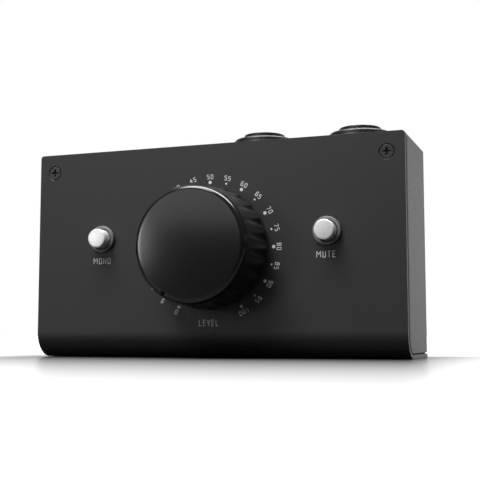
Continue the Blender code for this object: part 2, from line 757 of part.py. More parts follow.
def pot_fixed_pieces():
    """The bush, body, washer and nut, which stay with the panel."""
    place = (0, FRONT_Y, LEVEL_Z)
    bore = SHAFT_RADIUS + CLEARANCE
    profile = [
        (BUSH_RADIUS, BUSH_REACH),
        (BUSH_RADIUS, -SHEET - SEAT),
        (POT_RADIUS, -SHEET - SEAT),
        (POT_RADIUS, BUSH_BACK),
        (bore, BUSH_BACK),
        (bore, BUSH_REACH),
    ]
    part("pot_bush", turned("pot_bush", profile, SMALL_STEPS), "zinc_steel", place, FACING_FRONT)
    inner = POT_RADIUS - POT_WALL
    profile = [
        (0, POT_BACK + POT_WALL),
        (inner, POT_BACK + POT_WALL),
        (inner, POT_FRONT),
        (POT_RADIUS, POT_FRONT),
        (POT_RADIUS, POT_BACK),
        (0, POT_BACK),
    ]
    part("pot_body", turned("pot_body", profile, SMALL_STEPS), "zinc_steel", place, FACING_FRONT)
    hole = BUSH_RADIUS + CLEARANCE
    washer_top = SEAT + WASHER_THICKNESS
    washer = ring("pot_washer", WASHER_RADIUS, hole, SEAT, washer_top, SMALL_STEPS)
    part("pot_washer", washer, "zinc_steel", place, FACING_FRONT)
    low = washer_top + SEAT
    high = low + POT_NUT_HEIGHT
    mesh = rod("pot_nut", POT_NUT_RADIUS, low, high, HEX_SIDES)
    nut = part("pot_nut", mesh, "zinc_steel", place, FACING_FRONT)
    shape_with(nut, rod("nut_bore", hole, low - OVERRUN, high + OVERRUN, SMALL_STEPS))


def level_control():
    """Everything of the level control, on the axis of its hinge."""
    axis = axis_empty("level_axis", (0, FRONT_Y, LEVEL_Z))
    level_knob(axis)
    knob_ring(axis)
    pot_shaft(axis)
    pot_fixed_pieces()


def button_cap(name, axis):
    """A round cap with a square socket for its plunger."""
    profile = [
        (0, CAP_REACH),
        (CAP_RADIUS - CAP_CHAMFER, CAP_REACH),
        (CAP_RADIUS, CAP_REACH - CAP_CHAMFER),
        (CAP_RADIUS, CAP_BACK),
        (0, CAP_BACK),
    ]
    mesh = turned("cap", profile, SMALL_STEPS)
    cap = part(f"{name}_cap", mesh, "silver_plastic", parent=axis)
    half = PLUNGER_SIDE / 2 + CLEARANCE
    shape_with(cap, bar("socket", half, CAP_BACK - OVERRUN, PLUNGER_FRONT + CLEARANCE))


def bezel(name, place):
    """The ring round a button, and the nut that holds it behind the panel."""
    inner = BEZEL_RADIUS - BEZEL_BAND
    top = SEAT + BEZEL_PROUD
    profile = [
        (BEZEL_RADIUS - BEZEL_CHAMFER, top),
        (BEZEL_RADIUS, top - BEZEL_CHAMFER),
        (BEZEL_RADIUS, SEAT),
        (BEZEL_SLEEVE_RADIUS, SEAT),
        (BEZEL_SLEEVE_RADIUS, BEZEL_SLEEVE_BACK),
        (inner, BEZEL_SLEEVE_BACK),
        (inner, top),
    ]
    mesh = turned("bezel", profile, SMALL_STEPS)
    part(f"{name}_bezel", mesh, "grey_ring", place, FACING_FRONT)
    high = -SHEET - SEAT
    low = high - BEZEL_NUT_HEIGHT
    mesh = rod("bezel_nut", BEZEL_NUT_RADIUS, low, high, HEX_SIDES)
    nut = part(f"{name}_bezel_nut", mesh, "zinc_steel", place, FACING_FRONT)
    hole = rod(
        "nut_bore", BEZEL_SLEEVE_RADIUS + CLEARANCE, low - OVERRUN, high + OVERRUN, SMALL_STEPS
    )
    shape_with(nut, hole)


def push_switch(name, place):
    """The switch body on the board, open at the front for its plunger."""
    mesh = bar("switch", SWITCH_SIDE / 2, SWITCH_BACK, SWITCH_FRONT)
    switch = part(f"{name}_switch", mesh, "black_plastic", place, FACING_FRONT)
    half = PLUNGER_SIDE / 2 + CLEARANCE
    low = PLUNGER_BACK - BUTTON_TRAVEL - CLEARANCE
    shape_with(switch, bar("channel", half, low, SWITCH_FRONT + OVERRUN))


def spring_points():
    """The middle line of a return spring, between the switch and the cap at rest."""
    low = SWITCH_FRONT + SEAT + SPRING_WIRE / 2
    high = CAP_BACK - SEAT - SPRING_WIRE / 2
    count = SPRING_CURLS * CURL_POINTS
    points = []
    for index in range(count + 1):
        angle = 2 * math.pi * index / CURL_POINTS
        height = low + (high - low) * index / count
        points.append(Vector((SPRING_RADIUS * math.cos(angle), SPRING_RADIUS * math.sin(angle), height)))
    return points


def print_least_gap(name, points):
    """Prints the least gap between a spring's wire and itself a curl further on."""
    half_curl = CURL_POINTS // 2
    gaps = [
        (last - first).length - SPRING_WIRE
        for index, first in enumerate(points)
        for last in points[index + half_curl:]
    ]
    print(f"{name}: least gap to itself {min(gaps):.5f} m")


def push_button(name, across):
    """A push button: its cap and plunger move, and the rest stays with the panel."""
    place = (across, FRONT_Y, BUTTON_Z)
    axis = axis_empty(f"{name}_axis", place)
    button_cap(name, axis)
    plunger = bar("plunger", PLUNGER_SIDE / 2, PLUNGER_BACK, PLUNGER_FRONT)
    part(f"{name}_plunger", plunger, "black_plastic", parent=axis)
    bezel(name, place)
    push_switch(name, place)
    points = spring_points()
    print_least_gap(f"{name}_spring", points)
    coil = tube("spring", points, SPRING_WIRE / 2, WIRE_RESOLUTION)
    part(f"{name}_spring", coil, "zinc_steel", place, FACING_FRONT)


def front_board():
    """The upright board that carries the level control and the switches."""
    half = BUTTON_X + SWITCH_SIDE / 2 + BOARD_MARGIN
    low = (-half, FRONT_BOARD_LOW, BOARD_BACK)
    high = (half, FRONT_BOARD_TOP, BOARD_FRONT)
    mesh = block("front_board", low, high)
    part("front_board", mesh, "green_board", (0, FRONT_Y, 0), FACING_FRONT)


def connector_board():
    """The level board under the sockets."""
    half_x = SOCKET_X_FAR + SOCKET_HALF_X
    low = (-half_x, -SOCKET_HALF_Y, CONNECTOR_BOARD_LOW)
    high = (half_x, SOCKET_HALF_Y, CONNECTOR_BOARD_TOP)
    part("connector_board", block("connector_board", low, high), "green_board")


def board_link():
    """A header on each board, and the ribbon that bends from one to the other."""
    half_x = HEADER_LENGTH / 2
    half = HEADER_WIDTH / 2
    start_y = FRONT_Y - BOARD_FRONT - SEAT
    start_z = FRONT_BOARD_TOP - FRONT_HEADER_DROP
    low = (-half_x, start_y - HEADER_HEIGHT, start_z - half)
    high = (half_x, start_y, start_z + half)
    part("front_header", block("front_header", low, high), "black_plastic", (HEADER_X, 0, 0))
    first = Vector((start_y - HEADER_HEIGHT - SEAT, start_z))
    end_y = first.x - RIBBON_REACH
    end_z = CONNECTOR_BOARD_LOW - SEAT
    low = (-half_x, end_y - half, end_z - HEADER_HEIGHT)
    high = (half_x, end_y + half, end_z)
    part("connector_header", block("connector_header", low, high), "black_plastic", (HEADER_X, 0, 0))
    last = Vector((end_y, end_z - HEADER_HEIGHT - SEAT))
    ribbon_cable(first, last)


def ribbon_cable(first, last):
    """The flat cable: it leaves the first header level and meets the other upright."""
    path = []
    for step in range(BEND_STEPS + 1):
        angle = math.pi / 2 * step / BEND_STEPS
        across = first.x + (last.x - first.x) * math.sin(angle)
        up = first.y + (last.y - first.y) * (1 - math.cos(angle))
        path.append((across, up, 0))
    item = poly_curve("ribbon", path, False)
    item.data.dimensions = "3D"
    item.data.extrude = RIBBON_WIDTH / 2
    mesh = evaluated("ribbon_cable", item)
    mesh.transform(SIDEWAYS)
    ribbon = part("ribbon_cable", mesh, "grey_cable", (HEADER_X, 0, 0))
    skin = ribbon.modifiers.new("thickness", "SOLIDIFY")
    skin.thickness = RIBBON_THICKNESS
    skin.offset = 0


def socket_screws(name, across):
    """The two pan-head screws that hold a socket to the top plate."""
    head_top = SEAT + PAN_HEAD_HEIGHT
    profile = [
        (0, head_top),
        (PAN_HEAD_RADIUS - PAN_CHAMFER, head_top),
        (PAN_HEAD_RADIUS, head_top - PAN_CHAMFER),
        (PAN_HEAD_RADIUS, SEAT),
        (PAN_SHANK_RADIUS, SEAT),
        (PAN_SHANK_RADIUS, -PAN_LENGTH),
        (0, -PAN_LENGTH),
    ]
    mesh = turned("pan_screw", profile, TINY_STEPS)
    for end, word in ((-1, "front"), (1, "back")):
        place = (across + end * PAN_X, end * PAN_Y, CASE_HEIGHT)
        screw = part(f"{name}_screw_{word}", mesh, "black_steel", place)
        cross_recess(screw, head_top)


def socket_flange(socket):
    """Joins the flange that lies under the plate, and cuts the holes for its screws."""
    under = SOCKET_TOP - SOCKET_FLANGE
    low = (-SOCKET_HALF_X, -SOCKET_HALF_Y, under)
    high = (SOCKET_HALF_X, SOCKET_HALF_Y, SOCKET_TOP)
    flange = shape_with(socket, block("flange", low, high), operation="UNION")
    room = rod("room", RING_RADIUS - OVERRUN, under - OVERRUN, SOCKET_TOP + OVERRUN, SOCKET_STEPS)
    shape_with(flange, room)
    pilot = rod(
        "pilot", PAN_SHANK_RADIUS + CLEARANCE, -PAN_LENGTH - CLEARANCE, OVERRUN, TINY_STEPS
    )
    for end in (-1, 1):
        shape_with(socket, pilot, (end * PAN_X, end * PAN_Y, 0))


def contact_places():
    """Where the three contacts of a socket stand round its axis."""
    return [
        (CONTACT_CIRCLE * math.cos(angle), CONTACT_CIRCLE * math.sin(angle), 0)
        for angle in CONTACT_ANGLES
    ]


def input_socket(name, across):
    """A round socket with a raised nose that takes a jack or a three-pin plug."""
    shoulder = RING_RADIUS - RING_SHOULDER
    turn = arc((shoulder, RING_HEIGHT - RING_SHOULDER), RING_SHOULDER, math.pi / 2, 0, ARC_STEPS)
    floor = RING_HEIGHT - GROOVE_DEPTH
    profile = [
        (0, NOSE_HEIGHT),
        (NOSE_RADIUS - NOSE_CHAMFER, NOSE_HEIGHT),
        (NOSE_RADIUS, NOSE_HEIGHT - NOSE_CHAMFER),
        (NOSE_RADIUS, floor),
        (GROOVE_RADIUS, floor),
        (GROOVE_RADIUS, RING_HEIGHT),
        *turn,
        (RING_RADIUS, SOCKET_BASE),
        (0, SOCKET_BASE),
    ]
    mesh = turned("input_socket", profile, SOCKET_STEPS)
    socket = part(name, mesh, "black_plastic", (across, 0, CASE_HEIGHT))
    socket_flange(socket)
    top = NOSE_HEIGHT + OVERRUN
    shape_with(socket, rod("jack", JACK_RADIUS, NOSE_HEIGHT - JACK_DEPTH, top, SMALL_STEPS))
    contact = rod("contact", CONTACT_RADIUS, NOSE_HEIGHT - CONTACT_DEPTH, top, TINY_STEPS)
    for place in contact_places():
        shape_with(socket, contact, place)
    socket_screws(name, across)


def output_socket(name, across):
    """A low round socket with three pins in a cup."""
    floor = OUTPUT_FLANGE - CUP_DEPTH
    profile = [
        (0, floor),
        (CUP_RADIUS, floor),
        (CUP_RADIUS, OUTPUT_FLANGE),
        (RING_RADIUS - OUTPUT_CHAMFER, OUTPUT_FLANGE),
        (RING_RADIUS, OUTPUT_FLANGE - OUTPUT_CHAMFER),
        (RING_RADIUS, SOCKET_BASE),
        (0, SOCKET_BASE),
    ]
    mesh = turned("output_socket", profile, SOCKET_STEPS)
    socket = part(name, mesh, "black_plastic", (across, 0, CASE_HEIGHT))
    socket_flange(socket)
    hole = rod(
        "pin_hole", PIN_RADIUS + CLEARANCE, SOCKET_BASE - OVERRUN, floor + OVERRUN, TINY_STEPS
    )
    pin = rod("pin", PIN_RADIUS, SOCKET_BASE, OUTPUT_FLANGE - PIN_RECESS, TINY_STEPS)
    for number, place in enumerate(contact_places(), 1):
        shape_with(socket, hole, place)
        pin_place = (across + place[0], place[1], CASE_HEIGHT)
        part(f"{name}_pin_{number}", pin, "brass", pin_place)
    socket_screws(name, across)


def aux_jack():
    """The small stereo jack, its ring nut and the lead to the board."""
    low = (-AUX_WIDTH / 2, -AUX_LENGTH / 2, AUX_BASE)
    high = (AUX_WIDTH / 2, AUX_LENGTH / 2, SOCKET_TOP)
    place = (AUX_X, 0, CASE_HEIGHT)
    jack = part("aux_jack", block("aux_jack", low, high), "black_plastic", place)
    bush = rod("bush", AUX_BUSH_RADIUS, SOCKET_TOP - OVERRUN, AUX_BUSH_REACH, SMALL_STEPS)
    shape_with(jack, bush, operation="UNION")
    low = AUX_BUSH_REACH - AUX_BORE_DEPTH
    shape_with(jack, rod("bore", AUX_BORE_RADIUS, low, AUX_BUSH_REACH + OVERRUN, SMALL_STEPS))
    hole = AUX_BUSH_RADIUS + CLEARANCE
    nut = ring("aux_nut", AUX_NUT_RADIUS, hole, SEAT, SEAT + AUX_NUT_HEIGHT, SMALL_STEPS)
    part("aux_nut", nut, "zinc_steel", place)
    start = AUX_BASE - SEAT
    points = []
    for index in range(LEAD_POINTS + 1):
        share = index / LEAD_POINTS
        bow = LEAD_SWING * math.sin(math.pi * share) ** 2
        points.append((0, bow, start + (SOCKET_BASE - start) * share))
    part("aux_lead", tube("aux_lead", points, LEAD_RADIUS, LEAD_RESOLUTION), "grey_cable", place)


def main():
    """Builds the whole object."""
    clear_scene()
    front_cover()
    chassis()
    case_fixings()
    rear_feet()
    level_control()
    push_button("mono", -BUTTON_X)
    push_button("mute", BUTTON_X)
    front_board()
    connector_board()
    board_link()
    output_socket("output_left", -SOCKET_X_FAR)
    output_socket("output_right", -SOCKET_X_NEAR)
    input_socket("input_left", SOCKET_X_NEAR)
    input_socket("input_right", SOCKET_X_FAR)
    aux_jack()


main()
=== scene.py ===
"""Looks of the studio monitor controller, laid out as an add-on and run as a script.

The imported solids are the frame. Most operators add one piece, or one group of like pieces,
at the place that the frame gives. One gives the inner pieces their materials, and the last
sets the stage. Units are metres, +Z is up, the front faces -Y.
"""

import math

import bmesh
import bpy
from bpy.props import FloatProperty, FloatVectorProperty, IntProperty, PointerProperty
from mathutils import Matrix, Vector


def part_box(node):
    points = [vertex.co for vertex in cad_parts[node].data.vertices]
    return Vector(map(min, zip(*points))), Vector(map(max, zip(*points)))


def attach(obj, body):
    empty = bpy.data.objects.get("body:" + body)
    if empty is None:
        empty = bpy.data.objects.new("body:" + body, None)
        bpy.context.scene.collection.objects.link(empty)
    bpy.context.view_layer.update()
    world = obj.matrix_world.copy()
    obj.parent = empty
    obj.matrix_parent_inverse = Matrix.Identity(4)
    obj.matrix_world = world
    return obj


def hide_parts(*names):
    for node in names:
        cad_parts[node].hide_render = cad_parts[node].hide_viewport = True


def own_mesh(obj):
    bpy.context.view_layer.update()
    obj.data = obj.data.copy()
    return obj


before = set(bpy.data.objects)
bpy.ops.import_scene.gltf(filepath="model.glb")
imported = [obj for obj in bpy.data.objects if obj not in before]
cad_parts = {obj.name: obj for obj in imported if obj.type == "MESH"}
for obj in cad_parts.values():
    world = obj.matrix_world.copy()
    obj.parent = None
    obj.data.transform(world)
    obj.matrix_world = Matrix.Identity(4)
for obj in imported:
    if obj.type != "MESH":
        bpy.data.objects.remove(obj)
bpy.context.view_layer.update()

bl_info = {
    "name": "Studio monitor controller",
    "version": (1, 0, 0),
    "blender": (4, 5, 0),
    "location": "View3D > Sidebar > Controller",
    "description": "Builds the visible pieces of a small studio monitor controller",
    "category": "Object",
}

MM = 0.001

# Places that the frame gives
COVER_LOW, COVER_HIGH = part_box("front_cover")
FRONT_Y = COVER_LOW.y
BACK_Y = COVER_HIGH.y
HALF_WIDTH = COVER_HIGH.x
HEIGHT = COVER_HIGH.z
KNOB_LOW, KNOB_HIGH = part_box("level_knob")
DIAL_Z = (KNOB_LOW.z + KNOB_HIGH.z) / 2
CASE_SCREWS = ("front_screw_left", "front_screw_right", "base_screw_left", "base_screw_right")
SOCKETS = ("input_left", "input_right", "output_left", "output_right")

# Sheet metal
SIDE_FOLD = 2.5 * MM
FOLD = 1.2 * MM
FLANGE_WIDTH = 12.8 * MM
BACK_NOTCH = 0.9 * MM
EDGE = 0.2 * MM
SEAT = 0.3 * MM
OVERRUN = 1 * MM

# Screws
CONE_HEIGHT = 1.25 * MM
CONE_SHANK = 1.5 * MM
CROSS_SPAN = 3.2 * MM
CROSS_WIDTH = 0.75 * MM
CROSS_DEPTH = 1.1 * MM
CROSS_TAPER = 0.4
PAN_SHANK = 1.25 * MM
PAN_EDGE = 0.6 * MM

# Feet
FOOT_DISH = 2 * MM
FOOT_LIP = 1.4 * MM
FOOT_EDGE = 0.5 * MM

# The knob, with heights measured from the panel
KNOB_FACE = 22.2 * MM
KNOB_WALL = 2.8 * MM
KNOB_SKIN = 2.5 * MM
KNOB_CROWN = 0.3 * MM
HUB = 6.2 * MM
HUB_END = 5.6 * MM
HUB_SLOT = 0.8 * MM
HUB_SLOT_LENGTH = 6 * MM
FLUTE_START = 5.5 * MM
FLUTE_BLEND = 0.3 * MM
POINTER_WIDTH = 1.5 * MM
POINTER_LENGTH = 2 * MM
SHAFT = 3.3 * MM
BUSH_HOLE = 4.8 * MM
DULL_UP_TO = 18 * MM
POLISHED_FROM = 20 * MM

# Buttons
BEZEL_BAND = 1.2 * MM
BEZEL_OUTER_EDGE = 0.35 * MM
BEZEL_INNER_EDGE = 0.3 * MM
SLEEVE = 4.8 * MM
PLUNGER_ROOM = 3.6 * MM
PLUNGER_GRIP = 4.3 * MM
SPRING = 2.8 * MM
WIRE = 0.25 * MM
CURLS = 6

# Sockets, measured from the top plate
RING = 12.3 * MM
RING_HEIGHT = 4.2 * MM
NOSE = 8.3 * MM
NOSE_HEIGHT = 6.2 * MM
GROOVE = 10.1 * MM
GROOVE_FLOOR = -5.8 * MM
JACK = 3.25 * MM
JACK_FLOOR = -17.8 * MM
CONTACT_CIRCLE = 5.2 * MM
CONTACT_ANGLES = (30, 150, 270)
CONTACT = 1.3 * MM
CONTACT_FLOOR = -5.8 * MM
RIM_HEIGHT = 1.2 * MM
RIM_EDGE = 0.4 * MM
CUP_FLOOR = -12.8 * MM
PIN_HOLE = 1.5 * MM
PIN_TIP = 0.7 * MM
FLANGE_TOP = -1.8 * MM
FLANGE_FOOT = -4.2 * MM
FLANGE_CORNER = 2 * MM
PILOT = 1.55 * MM
PILOT_FLOOR = -5.3 * MM

# The small jack and its nut
AUX_BUSH = 3 * MM
AUX_BORE = 1.8 * MM
AUX_DEPTH = 13 * MM
AUX_EDGE = 0.4 * MM
AUX_CORNER = 0.5 * MM
NUT_SLOT = 1 * MM
NUT_SLOT_DEPTH = 0.8 * MM

# Printed marks. A word has its width and the place of its middle, across and up the front
SMALL_DOT = 0.4 * MM
LARGE_DOT = 0.67 * MM
DOT_SWEEP = 1.9 * math.pi
DOT_STEPS = 19
DIAL_START = 150
DIAL_STEP = 3
INK_DEPTH = 0.04 * MM
INK_LIFT = 0.01 * MM
STROKE_GAP = 0.015 * MM
STROKE_BEND = 1.1
NUMBER_STROKE = 0.85
NUMBER_WIDTH = 0.58
LETTER_GAP = 0.45
WIDE_LETTER = 1.35
MITRE = 0.9
WORDS = (
    ("LEVEL", 8.3 * MM, -0.4 * MM, 13.5 * MM),
    ("MONO", 7.7 * MM, -47.4 * MM, 38.8 * MM),
    ("MUTE", 7.5 * MM, 46.8 * MM, 38.9 * MM),
)

# The floor board and the lamps, each with its place and its size
FLOOR_REACH = 6
FLOOR_CELLS = 40
FLOOR_DROP = 0.1 * MM
LAMPS = (
    ("overhead", (0.04, -0.06, 0.85), (1.1, 0.4)),
    ("key", (-0.26, -0.58, 0.78), (0.4, 0.3)),
    ("window", (-0.55, -1.3, 0.39), (0.65, 0.3)),
    ("strip", (-0.77, -1.15, 0.18), (0.2, 0.13)),
    ("side", (0.4, 1.5, 0.1), (0.5, 0.6)),
)

# How finely round shapes are divided, and where shading turns sharp
ROUND_STEPS = 96
SMALL_STEPS = 48
FLUTE_STEPS = 20
SIDE_STEPS = 30
BEND_STEPS = 24
FILLET_STEPS = 5
LARGE_FILLET_STEPS = 8
CROWN_STEPS = 8
KNOB_SHARP = math.radians(65)
SHARP = math.radians(34)
LEVEL = 0.99999
WELD = 0.001 * MM

FACING_FRONT = Matrix.Rotation(math.pi / 2, 4, "X")
FACING_BACK = Matrix.Rotation(-math.pi / 2, 4, "X")
FACING_DOWN = Matrix.Rotation(math.pi, 4, "X")
ALONG_X = Matrix(((0, 0, 1, 0), (1, 0, 0, 0), (0, 1, 0, 0), (0, 0, 0, 1)))

# Strokes of the printed characters in a cell of 1 by 1: a ring is closed, a bend has
# round corners, and a stem, a hook and a bar are kept clear of the strokes they meet
STROKES = {
    "0": [("ring", [(0, 0), (1, 0), (1, 1), (0, 1)])],
    "1": [("line", [(0.1, 0.72), (0.6, 1), (0.6, 0)])],
    "2": [("bend", [(0, 1), (1, 1), (1, 0.5), (0, 0.5), (0, 0), (1, 0)])],
    "3": [("bend", [(0, 1), (1, 1), (1, 0), (0, 0)]), ("hook", [(0.2, 0.5), (1, 0.5)])],
    "4": [
        ("line", [(0.55, 1), (0, 0.3), (1, 0.3)]),
        ("stem", [(0.74, 0.3), (0.74, 0.68)]),
        ("stem", [(0.74, 0.3), (0.74, 0)]),
    ],
    "5": [("bend", [(1, 1), (0, 1), (0, 0.55), (1, 0.55), (1, 0), (0, 0)])],
    "6": [("hook", [(1, 1), (0, 1), (0, 0), (1, 0), (1, 0.55), (0, 0.55)])],
    "7": [("line", [(0, 1), (1, 1), (0.4, 0)])],
    "8": [("ring", [(0, 0), (1, 0), (1, 1), (0, 1)]), ("bar", [(0, 0.52), (1, 0.52)])],
    "9": [("hook", [(0, 0), (1, 0), (1, 1), (0, 1), (0, 0.45), (1, 0.45)])],
    "E": [("line", [(1, 1), (0, 1), (0, 0), (1, 0)]), ("stem", [(0, 0.5), (0.88, 0.5)])],
    "L": [("line", [(0, 1), (0, 0), (1, 0)])],
    "M": [("line", [(0, 0), (0, 1), (0.5, 0.5), (1, 1), (1, 0)])],
    "N": [("line", [(0, 0), (0, 1), (1, 0), (1, 1)])],
    "O": [("ring", [(0, 0), (1, 0), (1, 1), (0, 1)])],
    "T": [("line", [(0, 1), (1, 1)]), ("stem", [(0.5, 1), (0.5, 0)])],
    "U": [("bend", [(0, 1), (0, 0), (1, 0), (1, 1)])],
    "V": [("line", [(0, 1), (0.5, 0), (1, 1)])],
}


def linear(code):
    """Turns an sRGB hex colour into the linear colour that shaders take."""
    channels = []
    for start in (0, 2, 4):
        value = int(code[start:start + 2], 16) / 255
        channels.append(value / 12.92 if value <= 0.04045 else ((value + 0.055) / 1.055) ** 2.4)
    return tuple(channels)


def length(name, description, millimetres):
    """A property that holds a length."""
    return FloatProperty(
        name=name, description=description, default=millimetres * MM, min=0, unit="LENGTH"
    )


def colour(name, description, code):
    """A property that holds a colour, given in sRGB hex."""
    return FloatVectorProperty(
        name=name, description=description, default=linear(code), min=0, max=1, subtype="COLOR"
    )


class SheetSettings(bpy.types.PropertyGroup):
    """Sizes and colour of the bent steel case."""

    thickness: length("Sheet", "Thickness of the sheet steel", 1.5)
    bend: length("Bend", "Outer radius of the lower front bend", 10)
    seam: length("Seam", "Gap between the front sheet and the frame behind it", 0.5)
    grain: length("Grain", "Size of the blotches in the powder coat", 1.4)
    coat: colour("Coat", "Colour of the powder coat", "28282a")


class KnobSettings(bpy.types.PropertyGroup):
    """Sizes and colour of the level knob."""

    flutes: IntProperty(name="Flutes", description="Scoops round the side", default=24, min=6)
    depth: length("Flute depth", "Depth of a scoop where it is deepest", 0.9)
    scoop: length("Flute radius", "Radius of a scoop's hollow", 2.4)
    rim: length("Rim", "Radius of the rounded rim", 1.8)
    pointer: FloatProperty(
        name="Pointer",
        description="Where the notch stands at rest, clockwise from the top",
        default=math.radians(-150),
        subtype="ANGLE",
    )
    plastic: colour("Plastic", "Colour of the knob", "171718")


class ButtonSettings(bpy.types.PropertyGroup):
    """Sizes and colours of the push buttons."""

    edge: length("Cap edge", "Radius of the cap's front edge", 0.45)
    crown: length("Cap crown", "Rise of the cap's face towards its middle", 0.12)
    cap: colour("Cap", "Colour of the silver lacquer", "f0f0f0")
    ring: colour("Ring", "Colour of the ring round the button", "707070")


class PrintSettings(bpy.types.PropertyGroup):
    """Sizes and colour of the marks printed on the front."""

    dots: length("Dot circle", "Radius of the circle of dots", 26.2)
    numbers: length("Number circle", "Radius to the middle of the numbers", 28.4)
    number: length("Number height", "Height of a dial number", 1.9)
    word: length("Word height", "Height of the letters of a word", 2.5)
    stroke: length("Stroke", "Width of a printed stroke", 0.29)
    ink: colour("Ink", "Colour of the printed marks", "e2e2e2")


class SocketSettings(bpy.types.PropertyGroup):
    """Sizes and colour of the sockets on the top."""

    shoulder: length("Shoulder", "Radius of an input ring's outer edge", 1)
    edge: length("Edge", "Radius of the other moulded edges", 0.3)
    moulding: colour("Moulding", "Colour of the mouldings", "1a1a1b")


class StageSettings(bpy.types.PropertyGroup):
    """The light round the object, the floor and the lens."""

    front: FloatProperty(name="Front", description="Light from the room in front", default=0.03)
    top: FloatProperty(name="Top", description="Light from above", default=0.2)
    back: FloatProperty(name="Back", description="Light from behind the object", default=0.9)
    overhead: FloatProperty(name="Overhead", description="Power of the box above", default=21)
    key: FloatProperty(name="Key", description="Power of the box above the front", default=4.1)
    window: FloatProperty(name="Window", description="Power of the low wide box", default=0.85)
    strip: FloatProperty(name="Strip", description="Power of the small low box", default=0.8)
    side: FloatProperty(name="Side", description="Power of the box behind the right", default=0.5)
    # Share of the floor's colour kept in front for all but camera rays: painted shade that keeps the
    # lower front dark
    card: FloatProperty(name="Card", description="Light that the front floor throws", default=0.04)
    lens: FloatProperty(name="Lens", description="Focal length in millimetres", default=71.2)
    floor: colour("Floor", "Colour of the floor board", "9c9c9c")


class ControllerSettings(bpy.types.PropertyGroup):
    """All settings of the controller."""

    sheet: PointerProperty(type=SheetSettings)
    knob: PointerProperty(type=KnobSettings)
    button: PointerProperty(type=ButtonSettings)
    mark: PointerProperty(type=PrintSettings)
    socket: PointerProperty(type=SocketSettings)
    stage: PointerProperty(type=StageSettings)


def middle_of(node):
    """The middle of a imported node's box."""
    low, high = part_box(node)
    return (low + high) / 2


def on_front(across, up):
    """The matrix of a place on the front, with its own +Z pointing forward."""
    return Matrix.Translation((across, FRONT_Y, up)) @ FACING_FRONT


def on_top(across, along=0):
    """The matrix of a place on the top plate's upper face."""
    return Matrix.Translation((across, along, HEIGHT))


def add_node(tree, kind, values=None, links=None, **settings):
    """Adds a node with its settings, its sockets' values and the links into them."""
    node = tree.nodes.new(kind)
    for name, value in settings.items():
        setattr(node, name, value)
    for socket, value in (values or {}).items():
        node.inputs[socket].default_value = value
    for socket, source in (links or {}).items():
        tree.links.new(source, node.inputs[socket])
    return node


def new_material(name, base, roughness, values=None):
    """A Principled material with constants on the shader's own sockets."""
    made = bpy.data.materials.new(name)
    made.use_nodes = True
    made.diffuse_color = (*base, 1)
    shader = made.node_tree.nodes["Principled BSDF"]
    shader.inputs["Base Color"].default_value = (*base, 1)
    shader.inputs["Roughness"].default_value = roughness
    for socket, value in (values or {}).items():
        shader.inputs[socket].default_value = value
    return made


def noise(made, size, detail=2, stretch=(1, 1, 1)):
    """Noise whose features are about the size given, in the piece's own coordinates."""
    tree = made.node_tree
    place = add_node(tree, "ShaderNodeTexCoord")
    scaled = add_node(
        tree, "ShaderNodeMapping", {"Scale": stretch}, {"Vector": place.outputs["Object"]}
    )
    made_noise = add_node(
        tree,
        "ShaderNodeTexNoise",
        {"Scale": 1 / size, "Detail": detail},
        {"Vector": scaled.outputs["Vector"]},
    )
    return made_noise.outputs["Fac"]


def vary_colour(made, source, spread):
    """Lets a value darken and lighten the base colour by up to a share."""
    tree = made.node_tree
    base = tree.nodes["Principled BSDF"].inputs["Base Color"]
    here = base.default_value
    mixed = add_node(tree, "ShaderNodeMix", links={"Factor": source}, data_type="RGBA")
    for socket, share in ((mixed.inputs[6], 1 - spread), (mixed.inputs[7], 1 + spread)):
        socket.default_value = (*(min(1, channel * share) for channel in here[:3]), 1)
    tree.links.new(mixed.outputs[2], base)


def vary_roughness(made, source, low, high):
    """Lets a value move the roughness between two values."""
    tree = made.node_tree
    ranged = add_node(
        tree,
        "ShaderNodeMapRange",
        {"From Min": 0.3, "From Max": 0.7, "To Min": low, "To Max": high},
        {"Value": source},
    )
    tree.links.new(ranged.outputs["Result"], tree.nodes["Principled BSDF"].inputs["Roughness"])


def raise_surface(made, source, strength, height):
    """Lets a value raise the surface by up to a height in metres."""
    tree = made.node_tree
    bump = add_node(
        tree, "ShaderNodeBump", {"Strength": strength, "Distance": height}, {"Height": source}
    )
    tree.links.new(bump.outputs["Normal"], tree.nodes["Principled BSDF"].inputs["Normal"])


def powder_coated_steel(settings):
    """Steel under baked fine-texture powder coat: an even, dull black with faint blotches.

    The real orange peel is about 0.3 mm across. It is drawn twice as coarse, to show.
    """
    made = new_material("powder_coated_steel", settings.sheet.coat, 0.5)
    blotch = noise(made, settings.sheet.grain, detail=3)
    vary_colour(made, blotch, spread=0.25)
    vary_roughness(made, blotch, low=0.45, high=0.55)
    raise_surface(made, noise(made, 0.6 * MM), strength=0.3, height=0.02 * MM)
    return made


def moulded_satin_abs(settings):
    """Black ABS from a tool with a polished face and a spark-eroded side.

    The face mirrors the lamps softly, and the side gives broad, dull glints.
    """
    made = new_material("moulded_satin_abs", settings.knob.plastic, 0.15)
    tree = made.node_tree
    place = add_node(tree, "ShaderNodeTexCoord")
    split = add_node(tree, "ShaderNodeSeparateXYZ", links={"Vector": place.outputs["Object"]})
    dulled = add_node(
        tree,
        "ShaderNodeMapRange",
        {"From Min": DULL_UP_TO, "From Max": POLISHED_FROM, "To Min": 0.36, "To Max": 0.15},
        {"Value": split.outputs["Z"]},
    )
    tree.links.new(dulled.outputs["Result"], tree.nodes["Principled BSDF"].inputs["Roughness"])
    return made


def silver_lacquered_abs(settings):
    """ABS sprayed with silver lacquer: fine flakes give a pale, slightly metallic sheen."""
    made = new_material("silver_lacquered_abs", settings.button.cap, 0.3, {"Metallic": 0.35})
    flake = noise(made, 0.25 * MM, detail=1)
    vary_colour(made, flake, spread=0.08)
    vary_roughness(made, flake, low=0.26, high=0.36)
    return made


